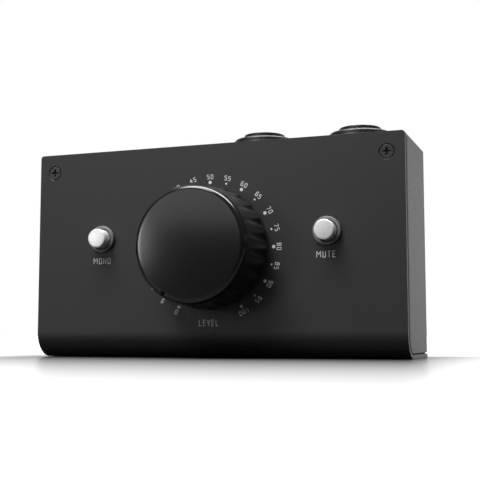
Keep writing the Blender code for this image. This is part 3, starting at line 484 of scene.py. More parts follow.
def moulded_grey_abs(settings):
    """Through-coloured grey ABS, moulded with a dull finish."""
    made = new_material("moulded_grey_abs", settings.button.ring, 0.42)
    cloud = noise(made, 1.2 * MM, detail=3)
    vary_colour(made, cloud, spread=0.12)
    raise_surface(made, cloud, strength=0.15, height=0.01 * MM)
    return made


def glass_filled_nylon(settings):
    """Moulded glass-filled nylon: black, a little uneven where fibres lie near the skin."""
    made = new_material("glass_filled_nylon", settings.socket.moulding, 0.38)
    fibre = noise(made, 0.6 * MM, detail=3, stretch=(1, 1, 0.3))
    vary_colour(made, fibre, spread=0.2)
    vary_roughness(made, fibre, low=0.32, high=0.46)
    raise_surface(made, fibre, strength=0.15, height=0.01 * MM)
    return made


def zinc_plated_steel(_settings):
    """Steel under bright zinc plate: grey metal whose spangle shows as soft patches."""
    made = new_material("zinc_plated_steel", linear("c3c3be"), 0.34, {"Metallic": 1})
    patch = noise(made, 1.5 * MM, detail=3)
    vary_colour(made, patch, spread=0.12)
    vary_roughness(made, patch, low=0.26, high=0.42)
    return made


def black_oxide_steel(_settings):
    """Machine screws after a black oxide dip: near black, slightly oily and uneven."""
    made = new_material("black_oxide_steel", linear("3c3c3d"), 0.42, {"Metallic": 0.4})
    patch = noise(made, 0.8 * MM, detail=3)
    vary_colour(made, patch, spread=0.25)
    vary_roughness(made, patch, low=0.36, high=0.5)
    return made


def gold_flashed_brass(_settings):
    """Turned brass under a thin gold flash: warm yellow with fine turning lines."""
    made = new_material("gold_flashed_brass", linear("d9ad5c"), 0.25, {"Metallic": 1})
    line = noise(made, 0.3 * MM, detail=2, stretch=(0.1, 0.1, 1))
    vary_colour(made, line, spread=0.1)
    raise_surface(made, line, strength=0.2, height=0.005 * MM)
    return made


def moulded_rubber(_settings):
    """Moulded rubber: matt black with a dusty bloom."""
    made = new_material("moulded_rubber", linear("1b1b1b"), 0.75)
    bloom = noise(made, 1.5 * MM, detail=4)
    vary_colour(made, bloom, spread=0.3)
    raise_surface(made, bloom, strength=0.3, height=0.02 * MM)
    return made


def lacquered_glass_board(_settings):
    """Glass-fibre board under green lacquer: the weave shows as a fine check."""
    made = new_material("lacquered_glass_board", linear("14553a"), 0.3)
    tree = made.node_tree
    place = add_node(tree, "ShaderNodeTexCoord")
    weave = add_node(
        tree, "ShaderNodeTexChecker", {"Scale": 1 / (1.2 * MM)}, {"Vector": place.outputs["Object"]}
    )
    vary_colour(made, weave.outputs["Fac"], spread=0.12)
    vary_roughness(made, noise(made, 2 * MM), low=0.24, high=0.36)
    return made


def soft_pvc_insulation(_settings):
    """Extruded grey PVC round the conductors: dull, with the cores as ribs along it."""
    made = new_material("soft_pvc_insulation", linear("9d9d9f"), 0.55)
    tree = made.node_tree
    place = add_node(tree, "ShaderNodeTexCoord")
    cores = add_node(
        tree,
        "ShaderNodeTexWave",
        {"Scale": 0.31 / (1.27 * MM)},
        {"Vector": place.outputs["Object"]},
        bands_direction="X",
    )
    # Painted shade: the colour follows the ribs, darker in the grooves between the cores and lighter
    # on their crests
    vary_colour(made, cores.outputs["Fac"], spread=0.15)
    raise_surface(made, cores.outputs["Fac"], strength=0.6, height=0.1 * MM)
    return made


def screen_print_ink(settings):
    """Screen-printed epoxy ink: flat and pale, slightly uneven from the mesh."""
    made = new_material("screen_print_ink", settings.mark.ink, 0.55)
    vary_colour(made, noise(made, 0.4 * MM), spread=0.08)
    return made


def hard_drawn_wire(_settings):
    """Hard-drawn stainless spring wire: bright, with drawing marks."""
    made = new_material("hard_drawn_wire", linear("c8c8ca"), 0.28, {"Metallic": 1})
    vary_colour(made, noise(made, 0.4 * MM), spread=0.1)
    return made


def painted_floor_board(settings):
    """A backdrop board under satin white paint, which mirrors the backdrop when seen low.

    The camera sees it white from a glow painted on it, which fades out near the object in a
    soft edge, furthest in front: a painted shadow. Seen low, its colour is dimmed there too, a
    painted reflection of the dark object. For all other rays it is painted dark in front, so it
    throws less light and paints shade into the lower front. Glossy pieces mirror one strip of it
    that glows for them alone, a painted highlight.
    """
    made = new_material(
        "painted_floor_board", settings.stage.floor, 0.3, {"Specular IOR Level": 0.2}
    )
    tree = made.node_tree
    shader = tree.nodes["Principled BSDF"]
    place = add_node(tree, "ShaderNodeTexCoord")
    split = add_node(tree, "ShaderNodeSeparateXYZ", links={"Vector": place.outputs["Object"]})
    along = split.outputs["Y"]
    aside = add_node(
        tree, "ShaderNodeMath", links={0: split.outputs["X"]}, operation="ABSOLUTE"
    )
    path = add_node(tree, "ShaderNodeLightPath")
    slant = add_node(tree, "ShaderNodeLayerWeight")
    # A ramp's source, where it starts and ends, and its values there
    rows = {
        # Painted shade: the floor in front is dark for all but camera rays, so the lower front mirrors
        # it dark
        "card": (along, -0.02, 0.02, settings.stage.card, 1),
        # Painted reflection: seen low, the floor's colour is dimmed for the camera, so the edge by the
        # object reads dark
        "low_view": (slant.outputs["Facing"], 0.75, 0.87, 1, 0.1),
        # Painted shadow: the white glow fades out near the object, furthest in front, leaving a dark
        # soft edge
        "ahead": (along, -0.024, -0.215, 0, 1),
        "behind": (along, 0.022, 0.06, 0, 1),
        "beside": (aside.outputs[0], 0.077, 0.12, 0, 1),
        # Painted highlight: a strip of floor in front glows for glossy rays alone
        "painted_glint_start": (along, -0.14, -0.1, 0, 0.2),
        "painted_glint_end": (along, -0.05, -0.03, 1, 0),
    }
    ramps = {}
    for name, (source, begin, end, first, last) in rows.items():
        values = {"From Min": begin, "From Max": end, "To Min": first, "To Max": last}
        ramp = add_node(tree, "ShaderNodeMapRange", values, {"Value": source})
        ramps[name] = ramp.outputs["Result"]
    share = add_node(
        tree,
        "ShaderNodeMix",
        links={
            "Factor": path.outputs["Is Camera Ray"],
            "A": ramps["card"],
            "B": ramps["low_view"],
        },
    )
    paint = add_node(
        tree, "ShaderNodeMix", links={"Factor": share.outputs["Result"]}, data_type="RGBA"
    )
    paint.inputs[6].default_value = (0, 0, 0, 1)
    paint.inputs[7].default_value = (*settings.stage.floor, 1)
    tree.links.new(paint.outputs[2], shader.inputs["Base Color"])
    # The white glow fades out round the object, a painted shadow; the strip glows for glossy rays
    # alone, a painted highlight
    shown = ("MAXIMUM", "behind"), ("MAXIMUM", "beside"), ("MULTIPLY", "Is Camera Ray")
    mirrored = ("MULTIPLY", "painted_glint_end"), ("MULTIPLY", "Is Glossy Ray")
    glows = []
    for name, steps in (("ahead", shown), ("painted_glint_start", mirrored)):
        glow = ramps[name]
        for operation, other in steps:
            links = {0: glow, 1: ramps.get(other) or path.outputs[other]}
            glow = add_node(tree, "ShaderNodeMath", links=links, operation=operation).outputs[0]
        glows.append(glow)
    glow = add_node(tree, "ShaderNodeMath", links=dict(enumerate(glows)), operation="MAXIMUM")
    shader.inputs["Emission Color"].default_value = (1, 1, 1, 1)
    tree.links.new(glow.outputs[0], shader.inputs["Emission Strength"])
    return made


MAKERS = {
    "case_paint": powder_coated_steel,
    "knob_plastic": moulded_satin_abs,
    "cap_silver": silver_lacquered_abs,
    "bezel_grey": moulded_grey_abs,
    "socket_plastic": glass_filled_nylon,
    "zinc_steel": zinc_plated_steel,
    "screw_black": black_oxide_steel,
    "contact_brass": gold_flashed_brass,
    "foot_rubber": moulded_rubber,
    "board_green": lacquered_glass_board,
    "cable_grey": soft_pvc_insulation,
    "ink": screen_print_ink,
    "wire": hard_drawn_wire,
    "floor": painted_floor_board,
}


def material(finish):
    """The material of a finish, made once."""
    make = MAKERS[finish]
    return bpy.data.materials.get(make.__name__) or make(bpy.context.scene.controller)


def finished(tool, name, sharp=SHARP):
    """Turns a bmesh into a smooth-shaded mesh that is sharp at its real corners."""
    bmesh.ops.recalc_face_normals(tool, faces=tool.faces)
    mesh = bpy.data.meshes.new(name)
    tool.to_mesh(mesh)
    tool.free()
    mesh.shade_smooth()
    mesh.set_sharp_from_angle(angle=sharp)
    return mesh


def evaluated(item):
    """The mesh of an object with its modifiers applied. The object is removed."""
    if not item.users_collection:
        bpy.context.scene.collection.objects.link(item)
    graph = bpy.context.evaluated_depsgraph_get()
    mesh = bpy.data.meshes.new_from_object(item.evaluated_get(graph))
    bpy.data.objects.remove(item, do_unlink=True)
    return mesh


def combined(mesh, others, operation="DIFFERENCE"):
    """A mesh cut by, or joined with, other meshes, each given with its matrix."""
    item = bpy.data.objects.new("whole", mesh)
    bpy.context.scene.collection.objects.link(item)
    tools = []
    for other, matrix in others:
        tool = bpy.data.objects.new("tool", other)
        bpy.context.scene.collection.objects.link(tool)
        tool.matrix_world = matrix
        step = item.modifiers.new("step", "BOOLEAN")
        step.operation = operation
        step.solver = "EXACT"
        step.object = tool
        tools.append(tool)
    result = evaluated(item)
    for tool in tools:
        bpy.data.objects.remove(tool, do_unlink=True)
    return result


def softened(mesh, width=EDGE, segments=2):
    """A mesh whose sharp edges are rounded. Faces that look along an axis are shaded flat."""
    item = bpy.data.objects.new("soft", mesh)
    item.data.shade_smooth()
    bevel = item.modifiers.new("edges", "BEVEL")
    bevel.width = width
    bevel.segments = segments
    bevel.limit_method = "ANGLE"
    bevel.angle_limit = SHARP
    shaped = evaluated(item)
    for face in shaped.polygons:
        face.use_smooth = max(abs(part) for part in face.normal) < LEVEL
    return shaped


def add_piece(name, mesh, matrix, body, finish, replaced=()):
    """Places a piece and says what it rides on, is made of and stands for."""
    item = bpy.data.objects.new(name, mesh)
    bpy.context.scene.collection.objects.link(item)
    item.matrix_world = matrix
    item.data.materials.clear()
    item.data.materials.append(material(finish))
    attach(item, body)
    if replaced:
        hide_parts(*replaced)
    return item


def arc(centre, radius, start, end, steps):
    """Points of an arc from one angle to another, both ends included."""
    points = []
    for step in range(steps + 1):
        angle = start + (end - start) * step / steps
        points.append((centre[0] + radius * math.cos(angle), centre[1] + radius * math.sin(angle)))
    return points


def filleted(points, steps=FILLET_STEPS):
    """A path whose corners are rounded. A point is (a, b), or (a, b, radius) to round it."""
    path = []
    for index, point in enumerate(points):
        here = Vector(point[:2])
        if len(point) < 3:
            path.append(tuple(here))
            continue
        before = Vector(points[index - 1][:2]) - here
        after = Vector(points[(index + 1) % len(points)][:2]) - here
        before.normalize()
        after.normalize()
        half = before.angle(after) / 2
        centre = (before + after).normalized() * (point[2] / math.sin(half))
        first = before * (point[2] / math.tan(half)) - centre
        last = after * (point[2] / math.tan(half)) - centre
        sweep = first.angle_signed(last)
        for step in range(steps + 1):
            turned = Matrix.Rotation(-sweep * step / steps, 2) @ first
            path.append(tuple(here + centre + turned))
    return path


def bridge(tool, first, second):
    """Joins two rings of vertices, either of which may be a single point."""
    count = max(len(first), len(second))
    for index in range(count):
        onward = index + 1
        corners = [first[index % len(first)], first[onward % len(first)]]
        corners += [second[onward % len(second)], second[index % len(second)]]
        tool.faces.new(list(dict.fromkeys(corners)))


def lathe(name, points, steps=ROUND_STEPS, shape=None, sharp=SHARP):
    """A closed shape turned about Z from (radius, height) points.

    The shape, if given, changes the radius by angle and height.
    """
    tool = bmesh.new()
    rings = []
    for radius, height in points:
        ring = []
        for step in range(steps if radius > WELD else 1):
            angle = 2 * math.pi * step / steps
            reach = shape(angle, radius, height) if shape else radius
            ring.append(tool.verts.new((reach * math.cos(angle), reach * math.sin(angle), height)))
        rings.append(ring)
    for first, second in zip(rings, rings[1:]):
        bridge(tool, first, second)
    if len(rings[0]) > 1:
        bridge(tool, rings[-1], rings[0])
    return finished(tool, name, sharp)


def prism(name, outlines, depth, lift=0):
    """Closed outlines of (x, y) points, filled, and made deep along Z about a height."""
    curve = bpy.data.curves.new(name, "CURVE")
    curve.dimensions = "2D"
    curve.fill_mode = "BOTH"
    curve.extrude = depth / MM / 2
    for outline in outlines:
        line = curve.splines.new("POLY")
        line.points.add(len(outline) - 1)
        for target, point in zip(line.points, outline):
            target.co = (point[0] / MM, point[1] / MM, 0, 1)
        line.use_cyclic_u = True
    tool = bmesh.new()
    tool.from_mesh(evaluated(bpy.data.objects.new(name, curve)))
    bmesh.ops.remove_doubles(tool, verts=tool.verts, dist=WELD / MM)
    place = Matrix.Translation((0, 0, lift)) @ Matrix.Scale(MM, 4)
    bmesh.ops.transform(tool, matrix=place, verts=tool.verts)
    return finished(tool, name)


def block(low, high):
    """A box between two corners, for cutting or joining."""
    tool = bmesh.new()
    bmesh.ops.create_cube(tool, size=1)
    low = Vector(low)
    high = Vector(high)
    place = Matrix.Translation((low + high) / 2) @ Matrix.Diagonal((*(high - low), 1))
    bmesh.ops.transform(tool, matrix=place, verts=tool.verts)
    return finished(tool, "block")


def rod(radius, low, high, steps=SMALL_STEPS):
    """A round bar along Z between two heights, for cutting or joining."""
    return lathe("rod", [(0, high), (radius, high), (radius, low), (0, low)], steps)


def cross_tool(top):
    """The tapered four-winged tool that leaves a cross recess below a height."""
    tool = bmesh.new()
    rings = []
    for height, grow in ((OVERRUN, 1 + CROSS_TAPER), (0, 1), (-CROSS_DEPTH, 1 - CROSS_TAPER)):
        reach = CROSS_SPAN / 2 * grow
        half = CROSS_WIDTH / 2 * grow
        ring = []
        for quarter in range(4):
            turn = Matrix.Rotation(-math.pi / 2 * quarter, 3, "Z")
            for corner in ((half, half), (reach, half), (reach, -half)):
                ring.append(tool.verts.new(turn @ Vector((*corner, top + height))))
        rings.append(ring)
    for first, second in zip(rings, rings[1:]):
        bridge(tool, first, second)
    tool.faces.new(rings[0])
    tool.faces.new(rings[-1])
    return finished(tool, "cross")


def tube(name, points, radius):
    """A round wire or lead along a path."""
    curve = bpy.data.curves.new(name, "CURVE")
    curve.dimensions = "3D"
    curve.bevel_depth = radius
    curve.bevel_resolution = 4
    curve.use_fill_caps = True
    line = curve.splines.new("POLY")
    line.points.add(len(points) - 1)
    for target, point in zip(line.points, points):
        target.co = (*point, 1)
    mesh = evaluated(bpy.data.objects.new(name, curve))
    mesh.shade_smooth()
    mesh.set_sharp_from_angle(angle=SHARP)
    return mesh


def sheet_outline(near, far, low, high, radius, fold=None):
    """A side view in (y, z): a bend at the lower front and, if asked, a fold at the back."""
    turn = arc((near + radius, low + radius), radius, math.pi, 1.5 * math.pi, BEND_STEPS)
    back = (far, high, fold) if fold else (far, high)
    return [(near, high), *turn, (far, low), back]


def front_view(rounding):
    """A solid as wide and as high as the case, with its upper corners rounded."""
    outline = [
        (-HALF_WIDTH, -OVERRUN),
        (HALF_WIDTH, -OVERRUN),
        (HALF_WIDTH, HEIGHT, rounding),
        (-HALF_WIDTH, HEIGHT, rounding),
    ]
    return prism("front_view", [filleted(outline)], 4 * BACK_Y), FACING_FRONT


def screw_holes(tool):
    """A tool at the places of the four screws that hold the cover to the frame."""
    places = []
    for name in CASE_SCREWS:
        middle = middle_of(name)
        matrix = on_front(middle.x, middle.z)
        if name.startswith("base"):
            matrix = Matrix.Translation((middle.x, middle.y, 0)) @ FACING_DOWN
        places.append((tool, matrix))
    return places


class CaseCover(bpy.types.Operator):
    """Builds the front and the underside, bent from one sheet, with their holes"""

    bl_idname = "controller.case_cover"
    bl_label = "Case cover"

    def execute(self, context):
        sheet = context.scene.controller.sheet
        outer = sheet_outline(FRONT_Y, BACK_Y, 0, HEIGHT, sheet.bend)
        near = FRONT_Y + sheet.thickness
        inner_bend = sheet.bend - sheet.thickness
        inner = sheet_outline(near, BACK_Y, sheet.thickness, HEIGHT, inner_bend)
        outline = [*outer[:-1], *reversed(inner[:-1])]
        mesh = prism("case_cover", [outline], 2 * HALF_WIDTH)
        mesh.transform(ALONG_X)
        mesh = combined(mesh, [front_view(FOLD)], "INTERSECT")
        low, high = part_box("front_screw_left")
        head = (high.x - low.x) / 2 + SEAT
        shank = CONE_SHANK + SEAT
        through = -sheet.thickness - OVERRUN
        points = [
            (0, OVERRUN),
            (head + OVERRUN, OVERRUN),
            (shank, -CONE_HEIGHT),
            (shank, through),
            (0, through),
        ]
        cuts = screw_holes(lathe("countersink", points, SMALL_STEPS))
        bush = rod(BUSH_HOLE, through, OVERRUN)
        cuts.append((bush, on_front(0, DIAL_Z)))
        sleeve = rod(SLEEVE + SEAT, through, OVERRUN, ROUND_STEPS)
        for name in ("mono_cap", "mute_cap"):
            middle = middle_of(name)
            cuts.append((sleeve, on_front(middle.x, middle.z)))
        mesh = softened(combined(mesh, cuts))
        add_piece("case_cover", mesh, Matrix(), "case", "case_paint", ["front_cover"])
        return {"FINISHED"}


def fold_tool(side, sheet):
    """What rounds a side's front fold, tapering to nothing round the lower bend."""
    near = FRONT_Y + sheet.thickness + sheet.seam
    radius = sheet.bend - sheet.thickness - sheet.seam
    stations = [(near, HEIGHT - sheet.thickness - sheet.seam, math.pi, SIDE_FOLD)]
    for step in range(BEND_STEPS + 1):
        share = step / BEND_STEPS
        angle = math.pi * (1 + share / 2)
        along = FRONT_Y + sheet.bend + radius * math.cos(angle)
        up = sheet.bend + radius * math.sin(angle)
        stations.append((along, up, angle, max(SIDE_FOLD * (1 - share), WELD)))
    tool = bmesh.new()
    rings = []
    for along, up, angle, turn in stations:
        outline = arc((HALF_WIDTH - turn, -turn), turn, math.pi / 2, 0, BEND_STEPS // 3)
        outline += [(HALF_WIDTH + OVERRUN, -turn), (HALF_WIDTH + OVERRUN, OVERRUN)]
        outline.append((HALF_WIDTH - turn, OVERRUN))
        ring = []
        for across, out in outline:
            place = (side * across, along + out * math.cos(angle), up + out * math.sin(angle))
            ring.append(tool.verts.new(place))
        rings.append(ring)
    for first, second in zip(rings, rings[1:]):
        bridge(tool, first, second)
    tool.faces.new(rings[0])
    tool.faces.new(rings[-1])
    return finished(tool, "fold")


class CaseFrame(bpy.types.Operator):
    """Builds the folded top plate, back and sides, with flanges and holes"""

    bl_idname = "controller.case_frame"
    bl_label = "Case frame"

    def execute(self, context):
        sheet = context.scene.controller.sheet
        thick = sheet.thickness
        near = FRONT_Y + thick + sheet.seam
        base = thick + sheet.seam
        outline = sheet_outline(near, BACK_Y, base, HEIGHT, sheet.bend - base, FOLD)
        mesh = prism("case_frame", [filleted(outline)], 2 * HALF_WIDTH)
        mesh.transform(ALONG_X)
        ahead = FRONT_Y - OVERRUN
        from_above = [
            (-HALF_WIDTH, ahead),
            (HALF_WIDTH, ahead),
            (HALF_WIDTH, BACK_Y, FOLD),
            (-HALF_WIDTH, BACK_Y, FOLD),
        ]
        plan = prism("plan", [filleted(from_above)], 4 * HEIGHT)
        mesh = combined(mesh, [front_view(FOLD), (plan, Matrix())], "INTERSECT")
        inside = HALF_WIDTH - thick
        room = block((-inside, ahead, -OVERRUN), (inside, BACK_Y - thick, HEIGHT - thick))
        mesh = combined(mesh, [(room, Matrix())])
        flanges = []
        cuts = []
        along = middle_of("base_screw_left").y
        half = FLANGE_WIDTH / 2 - SEAT
        for side in (-1, 1):
            beside = side * (HALF_WIDTH - thick / 2)
            left, right = sorted((side * (HALF_WIDTH - FLANGE_WIDTH), beside))
            low = (left, near, sheet.bend + thick)
            flanges.append((block(low, (right, near + thick, HEIGHT - thick / 2)), Matrix()))
            low = (left, along - half, base)
            flanges.append((block(low, (right, along + half, base + thick)), Matrix()))
            left, right = sorted((side * (HALF_WIDTH - BACK_NOTCH), side * (HALF_WIDTH + OVERRUN)))
            low = (left, BACK_Y - BACK_NOTCH, base - OVERRUN)
            notch = block(low, (right, BACK_Y + OVERRUN, base + BACK_NOTCH))
            cuts += [(fold_tool(side, sheet), Matrix()), (notch, Matrix())]
        low = (thick / 2 - HALF_WIDTH, BACK_Y - 2 * thick, base - sheet.seam + WELD)
        high = (HALF_WIDTH - thick / 2, BACK_Y - thick / 2, base + thick)
        flanges.append((block(low, high), Matrix()))
        mesh = combined(mesh, flanges, "UNION")
        cuts += screw_holes(rod(CONE_SHANK + SEAT, -2 * base - OVERRUN, OVERRUN))
        ring = rod(RING + SEAT, -thick - OVERRUN, OVERRUN, ROUND_STEPS)
        pan = rod(PILOT, -thick - OVERRUN, OVERRUN)
        for name in SOCKETS:
            cuts.append((ring, on_top(middle_of(name).x)))
            for end in ("front", "back"):
                middle = middle_of(f"{name}_screw_{end}")
                cuts.append((pan, on_top(middle.x, middle.y)))
        cuts.append((rod(SHAFT, -thick - OVERRUN, OVERRUN), on_top(middle_of("aux_nut").x)))
        mesh = softened(combined(mesh, cuts))
        add_piece("case_frame", mesh, Matrix(), "case", "case_paint", ["chassis"])
        return {"FINISHED"}


class CaseScrews(bpy.types.Operator):
    """Builds the countersunk cross-head screws in the front and the underside"""

    bl_idname = "controller.case_screws"
    bl_label = "Case screws"

    def execute(self, context):
        low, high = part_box("front_screw_left")
        head = (high.x - low.x) / 2
        end = low.y - high.y
        points = [(0, 0), (head, 0, EDGE / 2), (CONE_SHANK, -CONE_HEIGHT), (CONE_SHANK, end), (0, end)]
        mesh = lathe("case_screw", filleted(points, 2), SMALL_STEPS)
        mesh = combined(mesh, [(cross_tool(0), Matrix())])
        mesh = softened(mesh, EDGE / 4)
        for name, (_, matrix) in zip(CASE_SCREWS, screw_holes(mesh)):
            add_piece(f"{name}_piece", mesh.copy(), matrix, "case", "screw_black", [name])
        return {"FINISHED"}


class RearFeet(bpy.types.Operator):
    """Builds the four rubber feet on the back"""

    bl_idname = "controller.rear_feet"
    bl_label = "Rear feet"

    def execute(self, context):
        for level in ("lower", "upper"):
            for side in ("left", "right"):
                name = f"rear_foot_{level}_{side}"
                low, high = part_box(name)
                radius = (high.x - low.x) / 2
                top = high.y - BACK_Y
                points = [
                    (0, top - EDGE),
                    (radius - FOOT_DISH, top - EDGE),
                    (radius - FOOT_LIP, top),
                    (radius, top, FOOT_EDGE),
                    (radius, SEAT),
                    (0, SEAT),
                ]
                mesh = lathe(name, filleted(points))
                middle = (low + high) / 2
                matrix = Matrix.Translation((middle.x, BACK_Y, middle.z)) @ FACING_BACK
                add_piece(f"{name}_piece", mesh, matrix, "case", "foot_rubber", [name])
        return {"FINISHED"}


class LevelKnob(bpy.types.Operator):
    """Builds the fluted knob with its rounded rim, pointer notch, hollow back and hub"""

    bl_idname = "controller.level_knob"
    bl_label = "Level knob"

    def execute(self, context):
        knob = context.scene.controller.knob
        top = FRONT_Y - KNOB_LOW.y
        gap = FRONT_Y - KNOB_HIGH.y
        base = KNOB_HIGH.x
        shoulder = KNOB_FACE - knob.rim
        roof = top - KNOB_SKIN
        slope = knob.depth / (top - FLUTE_START - gap)

        def side(height):
            """The cone's radius at a height, without flutes."""
            return base + (KNOB_FACE - base) * (height - gap) / (top - gap)

        def fluted(angle, radius, height):
            """The radius after the scoops are taken out of the side."""
            if radius < KNOB_FACE - KNOB_WALL / 2 or height > roof + knob.rim / 2:
                return radius
            pitch = 2 * math.pi / knob.flutes
            off = angle % pitch - pitch / 2
            cone = side(height)
            axis = cone + knob.scoop - knob.depth + slope * (height - gap)
            half_chord = axis * math.sin(off)
            if abs(half_chord) >= knob.scoop:
                return radius
            hollow = axis * math.cos(off) - math.sqrt(knob.scoop ** 2 - half_chord ** 2)
            blend = max(FLUTE_BLEND - abs(cone - hollow), 0) / FLUTE_BLEND
            inset = cone - min(cone, hollow) + blend ** 2 * FLUTE_BLEND / 4
            return radius - inset

        profile = []
        for step in range(FLUTE_STEPS):
            share = step / FLUTE_STEPS
            profile.append((shoulder * share, top - KNOB_CROWN * share ** 2))
        rim_height = top - KNOB_CROWN - knob.rim
        profile += arc((shoulder, rim_height), knob.rim, math.pi / 2, 0, 2 * FILLET_STEPS)
        for step in range(1, SIDE_STEPS + 1):
            height = rim_height + (gap + EDGE - rim_height) * step / SIDE_STEPS
            profile.append((side(height), height))
        profile += [(side(gap) - EDGE / 4, gap + EDGE / 4), (side(gap) - EDGE, gap)]
        profile += [
            (base - KNOB_WALL, gap),
            (KNOB_FACE - KNOB_WALL, roof),
            (HUB, roof),
            (HUB, HUB_END),
            (0, HUB_END),
        ]
        steps = knob.flutes * FLUTE_STEPS
        mesh = lathe("level_knob", profile, steps, fluted, KNOB_SHARP)
        wedge = [
            (-POINTER_WIDTH, POINTER_WIDTH),
            (0, -2 * POINTER_WIDTH),
            (POINTER_WIDTH, POINTER_WIDTH),
        ]
        long = POINTER_LENGTH + OVERRUN
        notch = prism("notch", [wedge], long, long / 2)
        reach = Matrix.Translation((KNOB_FACE - POINTER_LENGTH, 0, top)) @ ALONG_X
        turn = Matrix.Rotation(math.pi / 2 - knob.pointer, 4, "Z")
        bore = rod(SHAFT, HUB_END - OVERRUN, roof)
        low = (-HUB - OVERRUN, -HUB_SLOT / 2, HUB_END - OVERRUN)
        slot = block(low, (0, HUB_SLOT / 2, HUB_END + HUB_SLOT_LENGTH))
        mesh = combined(mesh, [(notch, turn @ reach), (bore, Matrix()), (slot, Matrix())])
        matrix = on_front(0, DIAL_Z)
        add_piece("level_knob_piece", mesh, matrix, "level_control", "knob_plastic", ["level_knob"])
        return {"FINISHED"}


class PushButtons(bpy.types.Operator):
    """Builds the caps of the two push buttons and the rings round them"""

    bl_idname = "controller.push_buttons"
    bl_label = "Push buttons"

    def execute(self, context):
        button = context.scene.controller.button
        for word in ("mono", "mute"):
            low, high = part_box(f"{word}_cap")
            middle = (low + high) / 2
            radius = (high.x - low.x) / 2
            face = FRONT_Y - low.y
            back = FRONT_Y - high.y
            crown = [(0, face)]
            for step in range(1, CROWN_STEPS):
                reach = (radius - button.edge) * step / CROWN_STEPS
                crown.append((reach, face - button.crown * (reach / radius) ** 2))
            crown += [(radius, face - button.crown, button.edge), (radius, back), (0, back)]
            mesh = lathe("cap", filleted(crown, LARGE_FILLET_STEPS))
            half = PLUNGER_ROOM / 2
            room = block((-half, -half, back - OVERRUN), (half, half, back + PLUNGER_GRIP))
            mesh = combined(mesh, [(room, Matrix())])
            matrix = on_front(middle.x, middle.z)
            name = f"{word}_cap"
            add_piece(f"{name}_piece", mesh, matrix, f"{word}_button", "cap_silver", [name])
            name = f"{word}_bezel"
            low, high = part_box(name)
            outer = (high.x - low.x) / 2
            top = FRONT_Y - low.y
            end = FRONT_Y - high.y
            points = [
                (outer, top, BEZEL_OUTER_EDGE),
                (outer, SEAT),
                (SLEEVE, SEAT),
                (SLEEVE, end),
                (outer - BEZEL_BAND, end),
                (outer - BEZEL_BAND, top, BEZEL_INNER_EDGE),
            ]
            mesh = lathe("bezel", filleted(points))
            add_piece(f"{name}_piece", mesh, matrix, "case", "bezel_grey", [name])
        return {"FINISHED"}


class ReturnSprings(bpy.types.Operator):
    """Winds the two return springs, as they stand when their buttons are not pressed"""

    bl_idname = "controller.return_springs"
    bl_label = "Return springs"

    def execute(self, context):
        for word in ("mono", "mute"):
            name = f"{word}_spring"
            middle = middle_of(f"{word}_cap")
            low = FRONT_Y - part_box(f"{word}_switch")[0].y + SEAT + WIRE
            high = FRONT_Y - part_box(f"{word}_cap")[1].y - SEAT - WIRE
            points = []
            count = CURLS * SMALL_STEPS
            for step in range(count + 1):
                angle = 2 * math.pi * step / SMALL_STEPS
                height = low + (high - low) * step / count
                points.append((SPRING * math.cos(angle), SPRING * math.sin(angle), height))
            mesh = tube(name, points, WIRE)
            matrix = on_front(middle.x, middle.z)
            item = add_piece(f"{name}_piece", mesh, matrix, "case", "wire", [name])
            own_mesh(item)
        return {"FINISHED"}


def contact_places():
    """Where the three contacts of a socket stand round its axis."""
    places = []
    for degrees in CONTACT_ANGLES:
        turn = Matrix.Rotation(math.radians(degrees), 4, "Z")
        places.append(turn @ Matrix.Translation((CONTACT_CIRCLE, 0, 0)))
    return places


def slab(name, foot, radius):
    """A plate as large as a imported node's box, from below the top plate down to a height."""
    low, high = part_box(name)
    half_x = (high.x - low.x) / 2
    half_y = (high.y - low.y) / 2
    corners = [(-half_x, -half_y), (half_x, -half_y), (half_x, half_y), (-half_x, half_y)]
    outline = filleted([(*corner, radius) for corner in corners])
    return prism("slab", [outline], FLANGE_TOP - foot, (FLANGE_TOP + foot) / 2)


def with_flange(mesh, name):
    """Joins the flange that lies under the plate, with the holes for its two screws."""
    middle = middle_of(name)
    flange = slab(name, FLANGE_FOOT, FLANGE_CORNER)
    room = rod(NOSE + SEAT, FLANGE_FOOT - OVERRUN, OVERRUN, ROUND_STEPS)
    flange = combined(flange, [(room, Matrix())])
    mesh = combined(mesh, [(flange, Matrix())], "UNION")
    pilot = rod(PILOT, PILOT_FLOOR, OVERRUN)
    cuts = []
    for end in ("front", "back"):
        place = middle_of(f"{name}_screw_{end}")
        cuts.append((pilot, Matrix.Translation((place.x - middle.x, place.y - middle.y, 0))))
    return combined(mesh, cuts)


class InputSockets(bpy.types.Operator):
    """Builds the two input sockets, each a ring, a raised nose and a groove between"""

    bl_idname = "controller.input_sockets"
    bl_label = "Input sockets"

    def execute(self, context):
        socket = context.scene.controller.socket
        for name in ("input_left", "input_right"):
            low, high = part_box(name)
            foot = low.z - HEIGHT
            points = [
                (0, NOSE_HEIGHT),
                (NOSE, NOSE_HEIGHT, socket.edge),
                (NOSE, GROOVE_FLOOR),
                (GROOVE, GROOVE_FLOOR),
                (GROOVE, RING_HEIGHT, socket.edge),
                (RING, RING_HEIGHT, socket.shoulder),
                (RING, foot),
                (0, foot),
            ]
            mesh = lathe("input_socket", filleted(points, LARGE_FILLET_STEPS))
            mesh = with_flange(mesh, name)
            jack = [
                (0, NOSE_HEIGHT + OVERRUN),
                (JACK + EDGE + OVERRUN, NOSE_HEIGHT + OVERRUN),
                (JACK, NOSE_HEIGHT - EDGE),
                (JACK, JACK_FLOOR),
                (0, JACK_FLOOR),
            ]
            cuts = [(lathe("jack", jack, SMALL_STEPS), Matrix())]
            contact = rod(CONTACT, CONTACT_FLOOR, NOSE_HEIGHT + OVERRUN)
            cuts += [(contact, place) for place in contact_places()]
            mesh = combined(mesh, cuts)
            matrix = on_top((low.x + high.x) / 2)
            add_piece(f"{name}_piece", mesh, matrix, "case", "socket_plastic", [name])
        return {"FINISHED"}


